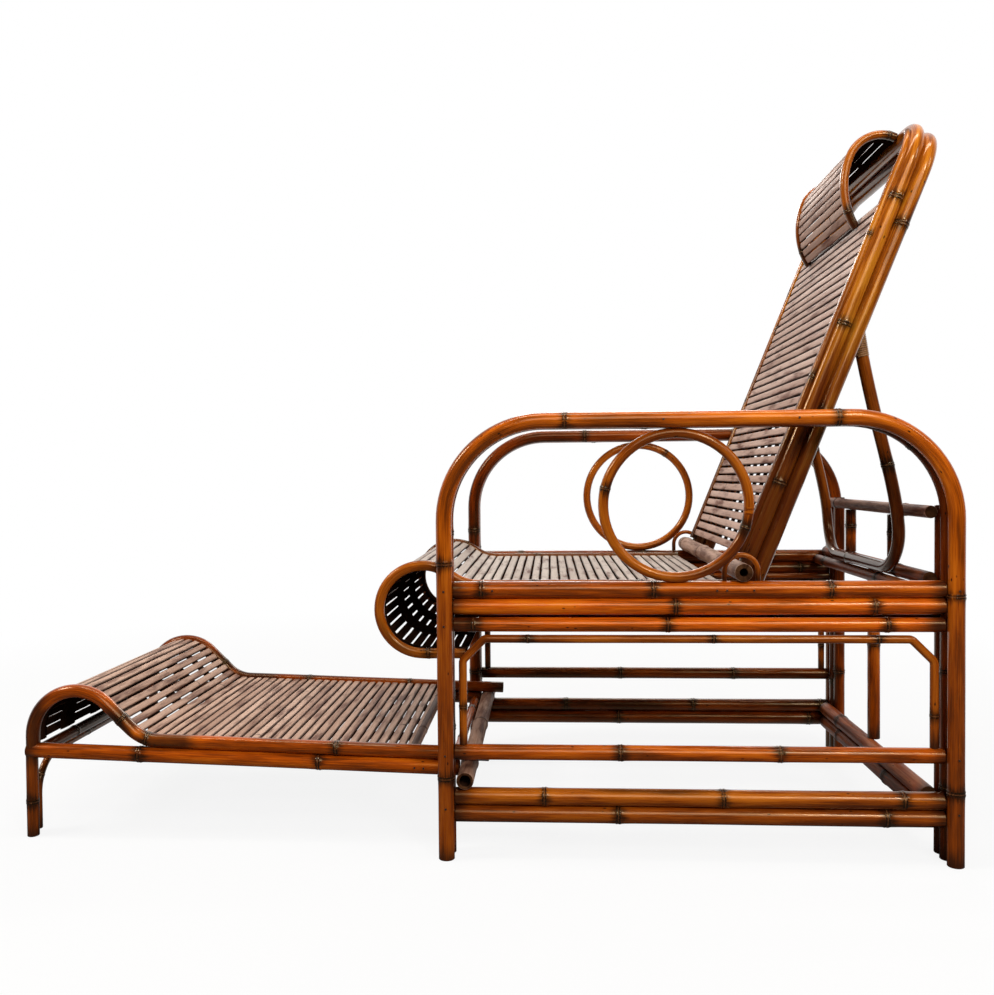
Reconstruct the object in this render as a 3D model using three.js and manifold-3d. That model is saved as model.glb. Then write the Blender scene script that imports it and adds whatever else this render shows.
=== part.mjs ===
// Bamboo folding recliner: a fixed base, a reclining back with a prop, and a pull-out footrest
import * as THREE from 'three';
import { mergeVertices } from 'three/addons/utils/BufferGeometryUtils.js';
import Module from 'manifold-3d';

const wasm = await Module();
wasm.setup();

// Frame: X towards the rear, Z up, floor at zero, the sitter's left hand at -Y; millimetres

// Overall sizes
const overallLength = 1512;
const overallWidth = 631;
const armHeight = 697;
const postSpacing = 778;
const seatSurfaceHeight = 427;

// Fits
const touchGap = 0.3;
const slideGap = 0.5;
const pairGap = 1;
const battenSink = 1;

// Base frame poles
const poleDiameter = 26;
const innerPostDiameter = 22;
const armBendRadius = 155;
const upperRailDiameter = 26;
const middleRailDiameter = 25;
const lowerRailDiameter = 20;
const upperRailHeight = 421;
const lowerRailDrop = 6;
const guideRailDiameter = 23;
const guideRailHeight = 165;
const upperFloorRailHeight = 95;
const braceDiameter = 13;
const braceDrop = 6;
const braceInset = 7;
const braceCorner = 34;
const braceCornerRadius = 12;
const ringCaneDiameter = 16;
const ringAheadOfPivot = 102;
const ringOutset = 7;

// Rear frame
const crossRailDiameter = 22;
const crossRailHeight = 434;
const stopRailDiameter = 20;
const stopRailHeight = 538;
const stopPostDiameter = 20;
const stopPostSpacing = 220;
const restPoleDiameter = 20;
const restPoleDrop = 23.5;
const restPoleSetback = 6;
const strutDiameter = 22;

// Seat
const seatSideGap = 6;
const edgePoleDiameter = 13;
const slatThickness = 6;
const slatWidth = 13.5;
const slatPitch = 16.5;
const battenWidth = 12;
const battenThickness = 5;
const seatBattenCount = 2;
const rollDiameter = 156;
const rollForward = 41;
const rollTail = 69;
const riseRadius = 80;
const riseDegrees = 38;
const seatRearGap = 8;
const seatPoleDiameter = 22;

// Back
const backSideGap = 15;
const backHoopDiameter = 25;
const backLeanDegrees = 21.9;
const backLength = 782;
const rearHoopDrop = 12;
const rearHoopTail = 15;
const backHoopBendRadius = 80;
const pivotTubeDiameter = 28;
const pivotTubeWall = 5;
const pivotAheadOfPosts = 317;
const hoopStandoff = 1.5;
const edgeBattenWidth = 8;
const edgeBattenThickness = 6;
const edgeBattenLength = 670;
const backSlatStart = 26;
const backSlatEnd = 626;
const backSlatInset = 3;
const backSlatPitch = 17.2;
const backBattenCount = 2;
const stapleCaneDiameter = 8;
const stapleBendRadius = 26;
const stapleInset = 6;

// Headrest
const headrestWidth = 264;
const headrestCaneDiameter = 14;
const headrestReach = 52;
const headrestTopRadius = 50;
const headrestFootRadius = 131;
const headrestSlatWidth = 12;
const headrestSlatPitch = 14.2;
const headrestSlatThickness = 5;

// Prop
const propRodDiameter = 14;
const propRodHeight = 449;
const propSideGap = 22.5;
const propDiameter = 20;
const propFootRise = 5;
const propBendRadius = 70;
const propBow = 14;
const propBowShapePower = 2.2;

// Footrest
const footSideGap = 15.5;
const footLegDiameter = 21;
const footLowerRailDiameter = 24;
const footUpperRailDiameter = 18;
const footRailFrontHeight = 146;
const humpRadius = 75;
const humpFallDegrees = 45;
const humpFall = 57;
const humpFootRadius = 70;
const humpSetback = 2;
const railPairGap = 3;
const slideTubeDiameter = 28;
const slideTubeWall = 5;
const slideStandoff = 2;
const railNoseInset = 1;
const upperRailTail = 34;
const footSlatPitch = 16.5;
const footSlatStart = 40;
const footSlatEndGap = 92;
const endSlatDiameter = 16;
const footBattenCount = 2;
const archDiameter = 12;
const archHeight = 124;
const archFootClearance = 6;
const archBendRadius = 60;
const footCrossDiameter = 18;
const footCrossSetback = 13;
const tieBarDiameter = 16;
const tieBarGap = 4;

// Facets
const poleSides = 12;
const caneSides = 8;
const tubeSides = 20;
const ringSteps = 32;
const bendStepDegrees = 15;
const bendSag = 0.9;
const spareStepShare = 0.1;
const propSteps = 8;

// Places worked out from the sizes above
const bendStep = THREE.MathUtils.degToRad(bendStepDegrees);
const poleRadius = poleDiameter / 2;
const innerPostRadius = innerPostDiameter / 2;
const backLean = THREE.MathUtils.degToRad(backLeanDegrees);
const backHoopRadius = backHoopDiameter / 2;
const frontHoopSetback = hoopStandoff + backHoopRadius;
const rearHoopSetback = frontHoopSetback + backHoopDiameter + slideGap;
const backTopHeight = backLength - backHoopRadius;
const rearHoopTop = backTopHeight - rearHoopDrop;
const backReach = backHoopRadius - pivotAheadOfPosts
  + rearHoopTop * Math.sin(backLean) + rearHoopSetback * Math.cos(backLean);
const rearPostX = overallLength / 2 - Math.max(backReach, poleRadius);
const frontPostX = rearPostX - postSpacing;
const outerPoleY = overallWidth / 2 - poleRadius;
const innerPoleY = outerPoleY - poleDiameter - pairGap;
const railY = (outerPoleY + innerPoleY) / 2;
const innerPostY = innerPoleY - poleRadius - touchGap - innerPostRadius;
const armAxisHeight = armHeight - poleRadius;
const railStartX = frontPostX + poleRadius + touchGap;
const railEndX = rearPostX - poleRadius - touchGap;
const middleRailHeight = upperRailHeight - (upperRailDiameter + middleRailDiameter + pairGap) / 2;
const lowerRailHeight = middleRailHeight - (middleRailDiameter + lowerRailDiameter) / 2 - lowerRailDrop;
const lowerFloorRailHeight = upperFloorRailHeight - poleDiameter - pairGap;
const upperRailTop = upperRailHeight + upperRailDiameter / 2;
const railInnerY = railY - upperRailDiameter / 2;

const clearHalfWidth = innerPoleY - poleRadius;
const backHalfWidth = clearHalfWidth - backSideGap;
const backLegY = backHalfWidth - backHoopRadius;
const pivotX = rearPostX - pivotAheadOfPosts;
const pivotZ = upperRailTop + touchGap + pivotTubeDiameter / 2;

// A track is a flat path in X and Z made of straight and round runs
function advance(start, bend, distance) {
  const heading = start.heading + bend * distance;
  if (bend === 0) {
    return {
      x: start.x + distance * Math.cos(heading),
      z: start.z + distance * Math.sin(heading),
      heading,
    };
  }
  return {
    x: start.x + (Math.sin(heading) - Math.sin(start.heading)) / bend,
    z: start.z - (Math.cos(heading) - Math.cos(start.heading)) / bend,
    heading,
  };
}

class Track {
  constructor(x, z, headingDegrees) {
    this.runs = [];
    this.length = 0;
    this.end = { x, z, heading: THREE.MathUtils.degToRad(headingDegrees) };
  }

  add(length, bend) {
    this.runs.push({ from: this.length, length, bend, start: this.end });
    this.end = advance(this.end, bend, length);
    this.length += length;
    return this;
  }

  straight(length) {
    return this.add(length, 0);
  }

  turn(radius, degrees) {
    const angle = THREE.MathUtils.degToRad(degrees);
    return this.add(radius * Math.abs(angle), Math.sign(angle) / radius);
  }

  at(distance) {
    const run = this.runs.findLast((one) => one.from <= distance) ?? this.runs[0];
    return advance(run.start, run.bend, distance - run.from);
  }

  // Places along the track: the ends of straight runs, and even steps round the bends
  places(from = 0, to = this.length) {
    const list = [this.at(from)];
    for (const run of this.runs) {
      const low = Math.max(from, run.from);
      const high = Math.min(to, run.from + run.length);
      if (high <= low) {
        continue;
      }
      const angle = Math.abs(run.bend) * (high - low);
      const sagStep = 2 * Math.acos(1 - bendSag * Math.abs(run.bend));
      const steps = angle / Math.min(bendStep, sagStep || bendStep);
      const count = Math.max(1, Math.ceil(steps - spareStepShare));
      for (let step = 1; step <= count; step += 1) {
        list.push(advance(run.start, run.bend, low - run.from + ((high - low) * step) / count));
      }
    }
    return list;
  }
}

// A curve that an extrusion samples exactly at the given points
class PointPath extends THREE.Curve {
  constructor(points, tangents) {
    super();
    this.points = points;
    this.tangents = tangents;
  }

  index(share) {
    return Math.round(share * (this.points.length - 1));
  }

  getPointAt(share) {
    return this.points[this.index(share)].clone();
  }

  getTangentAt(share) {
    return this.tangents[this.index(share)].clone();
  }
}

// A faceted round whose flats lie at the stated radius
function roundSection(flatRadius, sides) {
  const radius = flatRadius / Math.cos(Math.PI / sides);
  const corners = [];
  for (let side = 0; side < sides; side += 1) {
    const angle = (2 * Math.PI * (side + 0.5)) / sides;
    corners.push(new THREE.Vector2(radius * Math.cos(angle), radius * Math.sin(angle)));
  }
  return new THREE.Shape(corners);
}

function sweep(points, tangents, diameter, sides) {
  return new THREE.ExtrudeGeometry(roundSection(diameter / 2, sides), {
    steps: points.length - 1,
    extrudePath: new PointPath(points, tangents),
    bevelEnabled: false,
  });
}

// A pole along a flat track, in the X and Z plane
function trackPole(track, diameter, sides = poleSides) {
  const places = track.places();
  const points = places.map((place) => new THREE.Vector3(place.x, 0, place.z));
  const tangents = places.map(
    (place) => new THREE.Vector3(Math.cos(place.heading), 0, Math.sin(place.heading)),
  );
  return sweep(points, tangents, diameter, sides);
}

// Straight poles along each axis, centred on their own middle
function poleAlongX(diameter, length, sides = poleSides) {
  return new THREE.CylinderGeometry(diameter / 2, diameter / 2, length, sides).rotateZ(Math.PI / 2);
}

function poleAlongY(diameter, length, sides = poleSides) {
  return new THREE.CylinderGeometry(diameter / 2, diameter / 2, length, sides);
}

function poleAlongZ(diameter, length, sides = poleSides) {
  return new THREE.CylinderGeometry(diameter / 2, diameter / 2, length, sides).rotateX(Math.PI / 2);
}

// An open bamboo tube along Y
function openTube(diameter, wall, length) {
  const outer = diameter / 2;
  const inner = outer - wall;
  const half = length / 2;
  const profile = [
    new THREE.Vector2(inner, -half),
    new THREE.Vector2(outer, -half),
    new THREE.Vector2(outer, half),
    new THREE.Vector2(inner, half),
    new THREE.Vector2(inner, -half),
  ];
  return new THREE.LatheGeometry(profile, tubeSides);
}

// Closed solids for joining and cutting
function toSolid(geometry) {
  const bare = geometry.clone();
  bare.deleteAttribute('normal');
  bare.deleteAttribute('uv');
  const merged = mergeVertices(bare);
  const mesh = new wasm.Mesh({
    numProp: 3,
    vertProperties: new Float32Array(merged.attributes.position.array),
    triVerts: new Uint32Array(merged.index.array),
  });
  return new wasm.Manifold(mesh);
}

function fromSolid(solid) {
  const mesh = solid.getMesh();
  const geometry = new THREE.BufferGeometry();
  geometry.setAttribute('position', new THREE.BufferAttribute(mesh.vertProperties, 3));
  geometry.setIndex(new THREE.BufferAttribute(mesh.triVerts, 1));
  return geometry;
}

function joined(geometries) {
  let solid = toSolid(geometries[0]);
  for (const geometry of geometries.slice(1)) {
    solid = solid.add(toSolid(geometry));
  }
  return fromSolid(solid);
}

// A strip that follows a track between two depths on its left side
function band(track, from, to, nearDepth, farDepth, width, y) {
  const places = track.places(from, to);
  const side = (place, depth) =>
    new THREE.Vector2(
      place.x - depth * Math.sin(place.heading),
      place.z + depth * Math.cos(place.heading),
    );
  const near = places.map((place) => side(place, nearDepth));
  const far = places.map((place) => side(place, farDepth)).reverse();
  const strip = new THREE.ExtrudeGeometry(new THREE.Shape([...near, ...far]), {
    depth: width,
    bevelEnabled: false,
  });
  return strip.rotateX(Math.PI / 2).translate(0, y + width / 2, 0);
}

function slat(track, distance, width, thickness, length) {
  const place = track.at(distance);
  return new THREE.BoxGeometry(width, length, thickness)
    .rotateY(-place.heading)
    .translate(place.x, 0, place.z);
}

// Slats along a track, held by battens on its left side
function slatPanel(track, sizes) {
  const pieces = [];
  const run = sizes.to - sizes.from - sizes.slatWidth;
  const count = Math.round(run / sizes.pitch) + 1;
  for (let index = 0; index < count; index += 1) {
    const distance = sizes.from + sizes.slatWidth / 2 + (run * index) / (count - 1);
    pieces.push(slat(track, distance, sizes.slatWidth, sizes.thickness, sizes.length));
  }
  const nearDepth = sizes.thickness / 2 - battenSink;
  const farDepth = sizes.thickness / 2 + battenThickness;
  const spread = sizes.length - 3 * battenWidth;
  for (let index = 0; index < sizes.battens; index += 1) {
    const y = -spread / 2 + (spread * index) / (sizes.battens - 1);
    pieces.push(band(track, sizes.from, sizes.to, nearDepth, farDepth, battenWidth, y));
  }
  return joined(pieces);
}

// Finishes
const lacquer = () => new THREE.MeshStandardMaterial({ color: 0x8a3a10, roughness: 0.28, metalness: 0 });
const darkLacquer = () => new THREE.MeshStandardMaterial({ color: 0x4a1c0c, roughness: 0.3, metalness: 0 });
const bareSlat = () => new THREE.MeshStandardMaterial({ color: 0xa88a7c, roughness: 0.7, metalness: 0 });
const cane = () => new THREE.MeshStandardMaterial({ color: 0x9a4514, roughness: 0.32, metalness: 0 });

const recliner = new THREE.Group();

function piece(parent, name, geometry, material, x = 0, y = 0, z = 0) {
  const mesh = new THREE.Mesh(geometry, material);
  mesh.name = name;
  mesh.position.set(x, y, z);
  parent.add(mesh);
  return mesh;
}

const sides = [
  { name: 'left', sign: -1 },
  { name: 'right', sign: 1 },
];

// Arm hoops: front leg, arm and rear leg bent from one pole, two poles side by side
function armHoopTrack() {
  const legLength = armAxisHeight - armBendRadius;
  return new Track(frontPostX, 0, 90)
    .straight(legLength)
    .turn(armBendRadius, -90)
    .straight(postSpacing - 2 * armBendRadius)
    .turn(armBendRadius, -90)
    .straight(legLength);
}

for (const side of sides) {
  const outer = trackPole(armHoopTrack(), poleDiameter);
  piece(recliner, `${side.name}_outer_arm_hoop`, outer, lacquer(), 0, side.sign * outerPoleY, 0);
  const inner = trackPole(armHoopTrack(), poleDiameter);
  piece(recliner, `${side.name}_inner_arm_hoop`, inner, darkLacquer(), 0, side.sign * innerPoleY, 0);
}

// Side rails between the legs
const railLength = railEndX - railStartX;
const railCentreX = (railStartX + railEndX) / 2;
const sideRails = [
  { name: 'upper_seat_rail', diameter: upperRailDiameter, height: upperRailHeight },
  { name: 'middle_seat_rail', diameter: middleRailDiameter, height: middleRailHeight },
  { name: 'lower_seat_rail', diameter: lowerRailDiameter, height: lowerRailHeight },
  { name: 'guide_rail', diameter: guideRailDiameter, height: guideRailHeight },
  { name: 'upper_floor_rail', diameter: poleDiameter, height: upperFloorRailHeight },
  { name: 'lower_floor_rail', diameter: poleDiameter, height: lowerFloorRailHeight },
];

for (const side of sides) {
  for (const rail of sideRails) {
    const geometry = poleAlongX(rail.diameter, railLength);
    const name = `${side.name}_${rail.name}`;
    piece(recliner, name, geometry, lacquer(), railCentreX, side.sign * railY, rail.height);
  }
}

// Thin brace with cut corners, standing on the guide rail under the seat rails
const braceRadius = braceDiameter / 2;
const braceTop = lowerRailHeight - lowerRailDiameter / 2 - braceDrop - braceRadius;
const braceFoot = guideRailHeight + guideRailDiameter / 2 + touchGap;
const braceFrontX = railStartX + braceInset + braceRadius;
const braceRearX = railEndX - braceInset - braceRadius;

function braceTrack() {
  const cutTangent = braceCornerRadius * Math.tan(Math.PI / 8);
  const cutLength = braceCorner * Math.SQRT2 - 2 * cutTangent;
  const legLength = braceTop - braceFoot - braceCorner - cutTangent;
  const topLength = braceRearX - braceFrontX - 2 * (braceCorner + cutTangent);
  return new Track(braceFrontX, braceFoot, 90)
    .straight(legLength)
    .turn(braceCornerRadius, -45)
    .straight(cutLength)
    .turn(braceCornerRadius, -45)
    .straight(topLength)
    .turn(braceCornerRadius, -45)
    .straight(cutLength)
    .turn(braceCornerRadius, -45)
    .straight(legLength);
}

for (const side of sides) {
  const brace = trackPole(braceTrack(), braceDiameter, caneSides);
  piece(recliner, `${side.name}_seat_brace`, brace, cane(), 0, side.sign * railY, 0);
}

// Cane ring between the arm and the upper seat rail
const ringCaneRadius = ringCaneDiameter / 2;
const ringY = railY + ringOutset;
const seatedDrop = (reach, offset) => Math.sqrt(reach ** 2 - offset ** 2);
const ringReachLow = upperRailDiameter / 2 + ringCaneRadius + touchGap;
const ringReachHigh = poleRadius + ringCaneRadius + touchGap;
const ringLow = upperRailHeight + seatedDrop(ringReachLow, ringOutset);
const ringHigh = armAxisHeight - seatedDrop(ringReachHigh, outerPoleY - ringY);
const ringRadius = (ringHigh - ringLow) / 2;
const ringHeight = (ringHigh + ringLow) / 2;

for (const side of sides) {
  const ring = new THREE.TorusGeometry(ringRadius, ringCaneRadius, caneSides, ringSteps);
  ring.rotateX(Math.PI / 2);
  const name = `${side.name}_arm_ring`;
  piece(recliner, name, ring, cane(), pivotX - ringAheadOfPivot, side.sign * ringY, ringHeight);
}

// Rear inner posts carry the cross rails
const innerPostHeight = stopRailHeight + stopRailDiameter / 2;

for (const side of sides) {
  const post = poleAlongZ(innerPostDiameter, innerPostHeight);
  const name = `${side.name}_rear_inner_post`;
  piece(recliner, name, post, darkLacquer(), rearPostX, side.sign * innerPostY, innerPostHeight / 2);
}

// Rear cross poles lie against the front of the inner posts
const crossLength = 2 * (innerPostY + innerPostRadius);
const seatedX = (diameter) => rearPostX - innerPostRadius - touchGap - diameter / 2;

function crossPole(name, diameter, height, x, length, material) {
  return piece(recliner, name, poleAlongY(diameter, length), material, x, 0, height);
}

const crossRailX = seatedX(crossRailDiameter);
crossPole('rear_seat_cross_rail', crossRailDiameter, crossRailHeight, crossRailX, crossLength, lacquer());
const stopRailX = seatedX(stopRailDiameter);
crossPole('back_stop_rail', stopRailDiameter, stopRailHeight, stopRailX, crossLength, lacquer());
const lowCrossX = seatedX(poleDiameter);
crossPole('rear_upper_cross_pole', poleDiameter, upperFloorRailHeight, lowCrossX, crossLength, lacquer());
crossPole('rear_lower_cross_pole', poleDiameter, lowerFloorRailHeight, lowCrossX, crossLength, lacquer());

// Two short posts and a strut stand between the cross poles
function uprightBetween(name, diameter, x, y, low, high, material) {
  const foot = low + touchGap;
  const top = high - touchGap;
  const post = poleAlongZ(diameter, top - foot);
  return piece(recliner, name, post, material, x, y, (foot + top) / 2);
}

const crossRailTop = crossRailHeight + crossRailDiameter / 2;
const crossRailBottom = crossRailHeight - crossRailDiameter / 2;
const stopRailBottom = stopRailHeight - stopRailDiameter / 2;
for (const side of sides) {
  const y = (side.sign * stopPostSpacing) / 2;
  const name = `${side.name}_stop_post`;
  uprightBetween(name, stopPostDiameter, crossRailX, y, crossRailTop, stopRailBottom, darkLacquer());
}
// The prop's foot sits between the cross rail and the rest pole below it
const propRadius = propDiameter / 2;
const propFootX = crossRailX - crossRailDiameter / 2 - slideGap - propRadius;
const backPoint = (setback, height) => ({
  x: pivotX + height * Math.sin(backLean) + setback * Math.cos(backLean),
  z: pivotZ + height * Math.cos(backLean) - setback * Math.sin(backLean),
});
const propTop = backPoint(rearHoopSetback, propRodHeight);
const propFootZ = crossRailHeight + propFootRise;
const propLength = Math.hypot(propFootX - propTop.x, propTop.z - propFootZ);
const propLean = Math.asin((propFootX - propTop.x) / propLength);
const railSpan = 2 * (railInnerY - touchGap);
const restPoleX = propFootX + restPoleSetback;
const restPoleZ = propFootZ - restPoleDrop;
crossPole('prop_rest_pole', restPoleDiameter, restPoleZ, restPoleX, railSpan, darkLacquer());

// The strut stands just behind the rest pole
const lowCrossTop = upperFloorRailHeight + poleRadius;
const strutX = restPoleX + (restPoleDiameter + strutDiameter) / 2 + slideGap;
uprightBetween('rear_strut', strutDiameter, strutX, 0, lowCrossTop, crossRailBottom, darkLacquer());

// Seat side view: flat, a rise, then a roll at the front
const seatAxisHeight = seatSurfaceHeight - slatThickness / 2;
const edgePoleRadius = edgePoleDiameter / 2;
const rollAxisRadius = rollDiameter / 2 - edgePoleRadius;
const rollCentreX = frontPostX - rollForward;
const riseAngle = THREE.MathUtils.degToRad(riseDegrees);
const riseEndX = rollCentreX + (rollAxisRadius + riseRadius) * Math.sin(riseAngle);
const seatRearX = pivotX - pivotTubeDiameter / 2 - seatRearGap;
const seatFlatLength = seatRearX - riseEndX;

function seatTrack() {
  return new Track(seatRearX, seatAxisHeight, 180)
    .straight(seatFlatLength)
    .turn(riseRadius, -riseDegrees)
    .turn(rollAxisRadius, 180 + riseDegrees)
    .straight(rollTail);
}

const edgePoleY = clearHalfWidth - seatSideGap - edgePoleRadius;
for (const side of sides) {
  const pole = trackPole(seatTrack(), edgePoleDiameter, caneSides);
  piece(recliner, `${side.name}_seat_edge_pole`, pole, lacquer(), 0, side.sign * edgePoleY, 0);
}

const seatSlatLength = 2 * (edgePoleY - edgePoleRadius - touchGap);
const seatSlatShape = {
  slatWidth,
  thickness: slatThickness,
  pitch: slatPitch,
  length: seatSlatLength,
  battens: seatBattenCount,
};
const flatPanel = slatPanel(seatTrack(), { ...seatSlatShape, from: 0, to: seatFlatLength });
piece(recliner, 'seat_slats', flatPanel, bareSlat());
const rollStart = seatFlatLength + slatPitch - slatWidth;
const rollPanel = slatPanel(seatTrack(), { ...seatSlatShape, from: rollStart, to: seatTrack().length });
piece(recliner, 'seat_roll_slats', rollPanel, bareSlat());

// Cross poles under the seat, between the seat rails
const battenBottom = seatAxisHeight - slatThickness / 2 - battenThickness;
const seatPoleRadius = seatPoleDiameter / 2;
const seatPoleHeight = battenBottom - touchGap - seatPoleRadius;
const frontSeatPoleX = riseEndX + seatPoleRadius;
const rearSeatPoleX = seatRearX - 2 * seatPoleRadius;
const seatPoles = [
  { name: 'front_seat_cross_pole', x: frontSeatPoleX },
  { name: 'rear_seat_cross_pole', x: rearSeatPoleX },
];
for (const pole of seatPoles) {
  crossPole(pole.name, seatPoleDiameter, seatPoleHeight, pole.x, railSpan, darkLacquer());
}

// Pivot tube on the upper seat rails, held by a bent cane staple at each end
const pivotTubeLength = 2 * (railY + upperRailDiameter / 2);
const pivotTube = openTube(pivotTubeDiameter, pivotTubeWall, pivotTubeLength);
piece(recliner, 'pivot_tube', pivotTube, bareSlat(), pivotX, 0, pivotZ);

function stapleTrack() {
  const legLength = pivotZ - upperRailTop - touchGap;
  return new Track(pivotX - stapleBendRadius, upperRailTop + touchGap, 90)
    .straight(legLength)
    .turn(stapleBendRadius, -180)
    .straight(legLength);
}

for (const side of sides) {
  const staple = trackPole(stapleTrack(), stapleCaneDiameter, caneSides);
  const y = side.sign * (railY - stapleInset);
  piece(recliner, `${side.name}_pivot_staple`, staple, cane(), 0, y, 0);
}

// The back is drawn upright on its pivot and leans as a group
const back = new THREE.Group();
back.position.set(pivotX, 0, pivotZ);
back.rotation.y = backLean;
recliner.add(back);

function backHoopTrack(foot, top) {
  const legLength = top - foot - backHoopBendRadius;
  return new Track(-backLegY, foot, 90)
    .straight(legLength)
    .turn(backHoopBendRadius, -90)
    .straight(2 * (backLegY - backHoopBendRadius))
    .turn(backHoopBendRadius, -90)
    .straight(legLength);
}

const acrossTurn = Math.PI / 2;
const frontHoop = trackPole(backHoopTrack(0, backTopHeight), backHoopDiameter).rotateZ(acrossTurn);
frontHoop.translate(frontHoopSetback, 0, 0);
const saddle = poleAlongY(pivotTubeDiameter + 2 * touchGap, 2 * backHalfWidth + backHoopDiameter, tubeSides);
piece(back, 'back_front_hoop', fromSolid(toSolid(frontHoop).subtract(toSolid(saddle))), lacquer());
const rearHoop = trackPole(backHoopTrack(-rearHoopTail, rearHoopTop), backHoopDiameter);
piece(back, 'back_rear_hoop', rearHoop.rotateZ(acrossTurn), lacquer(), rearHoopSetback);

// Edge battens on the front hoop, with the slats between them
const edgeBattenX = hoopStandoff - touchGap - edgeBattenThickness / 2;
const edgeBattenY = backLegY - backHoopRadius + edgeBattenWidth / 2;
const edgeBattenFoot = backSlatStart - edgeBattenWidth;
for (const side of sides) {
  const batten = new THREE.BoxGeometry(edgeBattenThickness, edgeBattenWidth, edgeBattenLength);
  const name = `${side.name}_back_edge_batten`;
  const z = edgeBattenFoot + edgeBattenLength / 2;
  piece(back, name, batten, cane(), edgeBattenX, side.sign * edgeBattenY, z);
}

const backSlatX = edgeBattenX + backSlatInset;
const backTrack = new Track(backSlatX, backSlatEnd, -90).straight(backSlatEnd - backSlatStart);
const backSlats = slatPanel(backTrack, {
  slatWidth,
  thickness: slatThickness,
  pitch: backSlatPitch,
  length: 2 * (edgeBattenY - edgeBattenWidth / 2 - touchGap),
  battens: backBattenCount,
  from: 0,
  to: backTrack.length,
});
piece(back, 'back_slats', backSlats, bareSlat());

// Headrest: a slatted roll between two bent canes, from the hoop's top to the slats
const headrestCaneRadius = headrestCaneDiameter / 2;
const headrestTopX = hoopStandoff - touchGap;
const slatFaceX = backSlatX - slatThickness / 2;
const headrestFootRise = headrestFootRadius - headrestReach - slatFaceX + touchGap;
const headrestFootTurn = Math.acos(headrestFootRise / Math.hypot(headrestFootRadius, headrestCaneRadius))
  - Math.atan2(headrestCaneRadius, headrestFootRadius);
const headrestTrack = new Track(headrestTopX, backTopHeight, 180)
  .straight(headrestTopX + headrestReach - headrestTopRadius)
  .turn(headrestTopRadius, 90)
  .turn(headrestFootRadius, THREE.MathUtils.radToDeg(headrestFootTurn));
const headrestY = headrestWidth / 2 - headrestCaneRadius;
for (const side of sides) {
  const hoop = trackPole(headrestTrack, headrestCaneDiameter, caneSides);
  piece(back, `${side.name}_headrest_cane`, hoop, cane(), 0, side.sign * headrestY, 0);
}
const headrestSlats = slatPanel(headrestTrack, {
  slatWidth: headrestSlatWidth,
  thickness: headrestSlatThickness,
  pitch: headrestSlatPitch,
  length: 2 * (headrestY - headrestCaneRadius - touchGap),
  battens: 2,
  from: headrestSlatWidth / 2,
  to: headrestTrack.length - headrestSlatWidth / 2,
});
piece(back, 'headrest_slats', headrestSlats, bareSlat());

// Prop rod between the rear hoop's legs
const propRod = poleAlongY(propRodDiameter, 2 * (backLegY - backHoopRadius - touchGap), caneSides);
piece(back, 'prop_rod', propRod, darkLacquer(), rearHoopSetback, 0, propRodHeight);

// The prop hangs from the rod: one pole bent to a U, bowed to the rear
const propGroup = new THREE.Group();
propGroup.position.set(propTop.x, 0, propTop.z);
propGroup.rotation.y = -propLean;
recliner.add(propGroup);

const propLegY = backLegY - backHoopRadius - propSideGap - propRadius;
const propEndDrop = propRodDiameter / 2 + slideGap;
const propLegLength = propLength - propEndDrop - propBendRadius;
const propTrack = new Track(-propLegY, -propEndDrop, -90);
for (let step = 0; step < propSteps; step += 1) {
  propTrack.straight(propLegLength / propSteps);
}
propTrack
  .turn(propBendRadius, 90)
  .straight(2 * (propLegY - propBendRadius))
  .turn(propBendRadius, 90);
for (let step = 0; step < propSteps; step += 1) {
  propTrack.straight(propLegLength / propSteps);
}
const bowAt = (drop) => propBow * Math.sin(Math.PI * (drop / propLength) ** propBowShapePower);
const propPoints = propTrack.places().map((place) => new THREE.Vector3(bowAt(-place.z), place.x, place.z));
const propTangents = propPoints.map((point, index) => {
  const before = propPoints[Math.max(0, index - 1)];
  const after = propPoints[Math.min(propPoints.length - 1, index + 1)];
  return after.clone().sub(before).normalize();
});
piece(propGroup, 'prop_frame', sweep(propPoints, propTangents, propDiameter, poleSides), lacquer());

// Footrest: it slides on a tube between the guide rails and the floor rails
const footrest = new THREE.Group();
recliner.add(footrest);
const footLegRadius = footLegDiameter / 2;
const footLegX = -overallLength / 2 + footLegRadius;
const footLegY = clearHalfWidth - footSideGap - footLowerRailDiameter / 2;
const slideTubeX = railStartX + slideStandoff + slideTubeDiameter / 2;
const slideTubeZ = upperFloorRailHeight + poleRadius + touchGap + slideTubeDiameter / 2;
const footUpperRadius = footUpperRailDiameter / 2;
const railPairPitch = footLowerRailDiameter / 2 + railPairGap + footUpperRadius;

// The rails slope down so that the upper pair just clears the slide tube
const lowerRailStartX = -overallLength / 2 + railNoseInset;
const upperRailOverTube = slideTubeZ + slideTubeDiameter / 2 + touchGap + footUpperRadius;
const footRailDrop = footRailFrontHeight - (upperRailOverTube - railPairPitch);
const footSlope = Math.atan2(footRailDrop, slideTubeX - lowerRailStartX);
const footSlopeDegrees = THREE.MathUtils.radToDeg(footSlope);
const lowerRailEndX = slideTubeX - slideTubeDiameter / 2 - slideGap;
const lowerRailRun = (lowerRailEndX - lowerRailStartX) / Math.cos(footSlope);
const lowerRailAt = (x) => footRailFrontHeight - (x - lowerRailStartX) * Math.tan(footSlope);

for (const side of sides) {
  const rail = poleAlongX(footLowerRailDiameter, lowerRailRun).rotateY(footSlope);
  const x = (lowerRailStartX + lowerRailEndX) / 2;
  const name = `${side.name}_footrest_lower_rail`;
  piece(footrest, name, rail, lacquer(), x, side.sign * footLegY, lowerRailAt(x));
}

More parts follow.
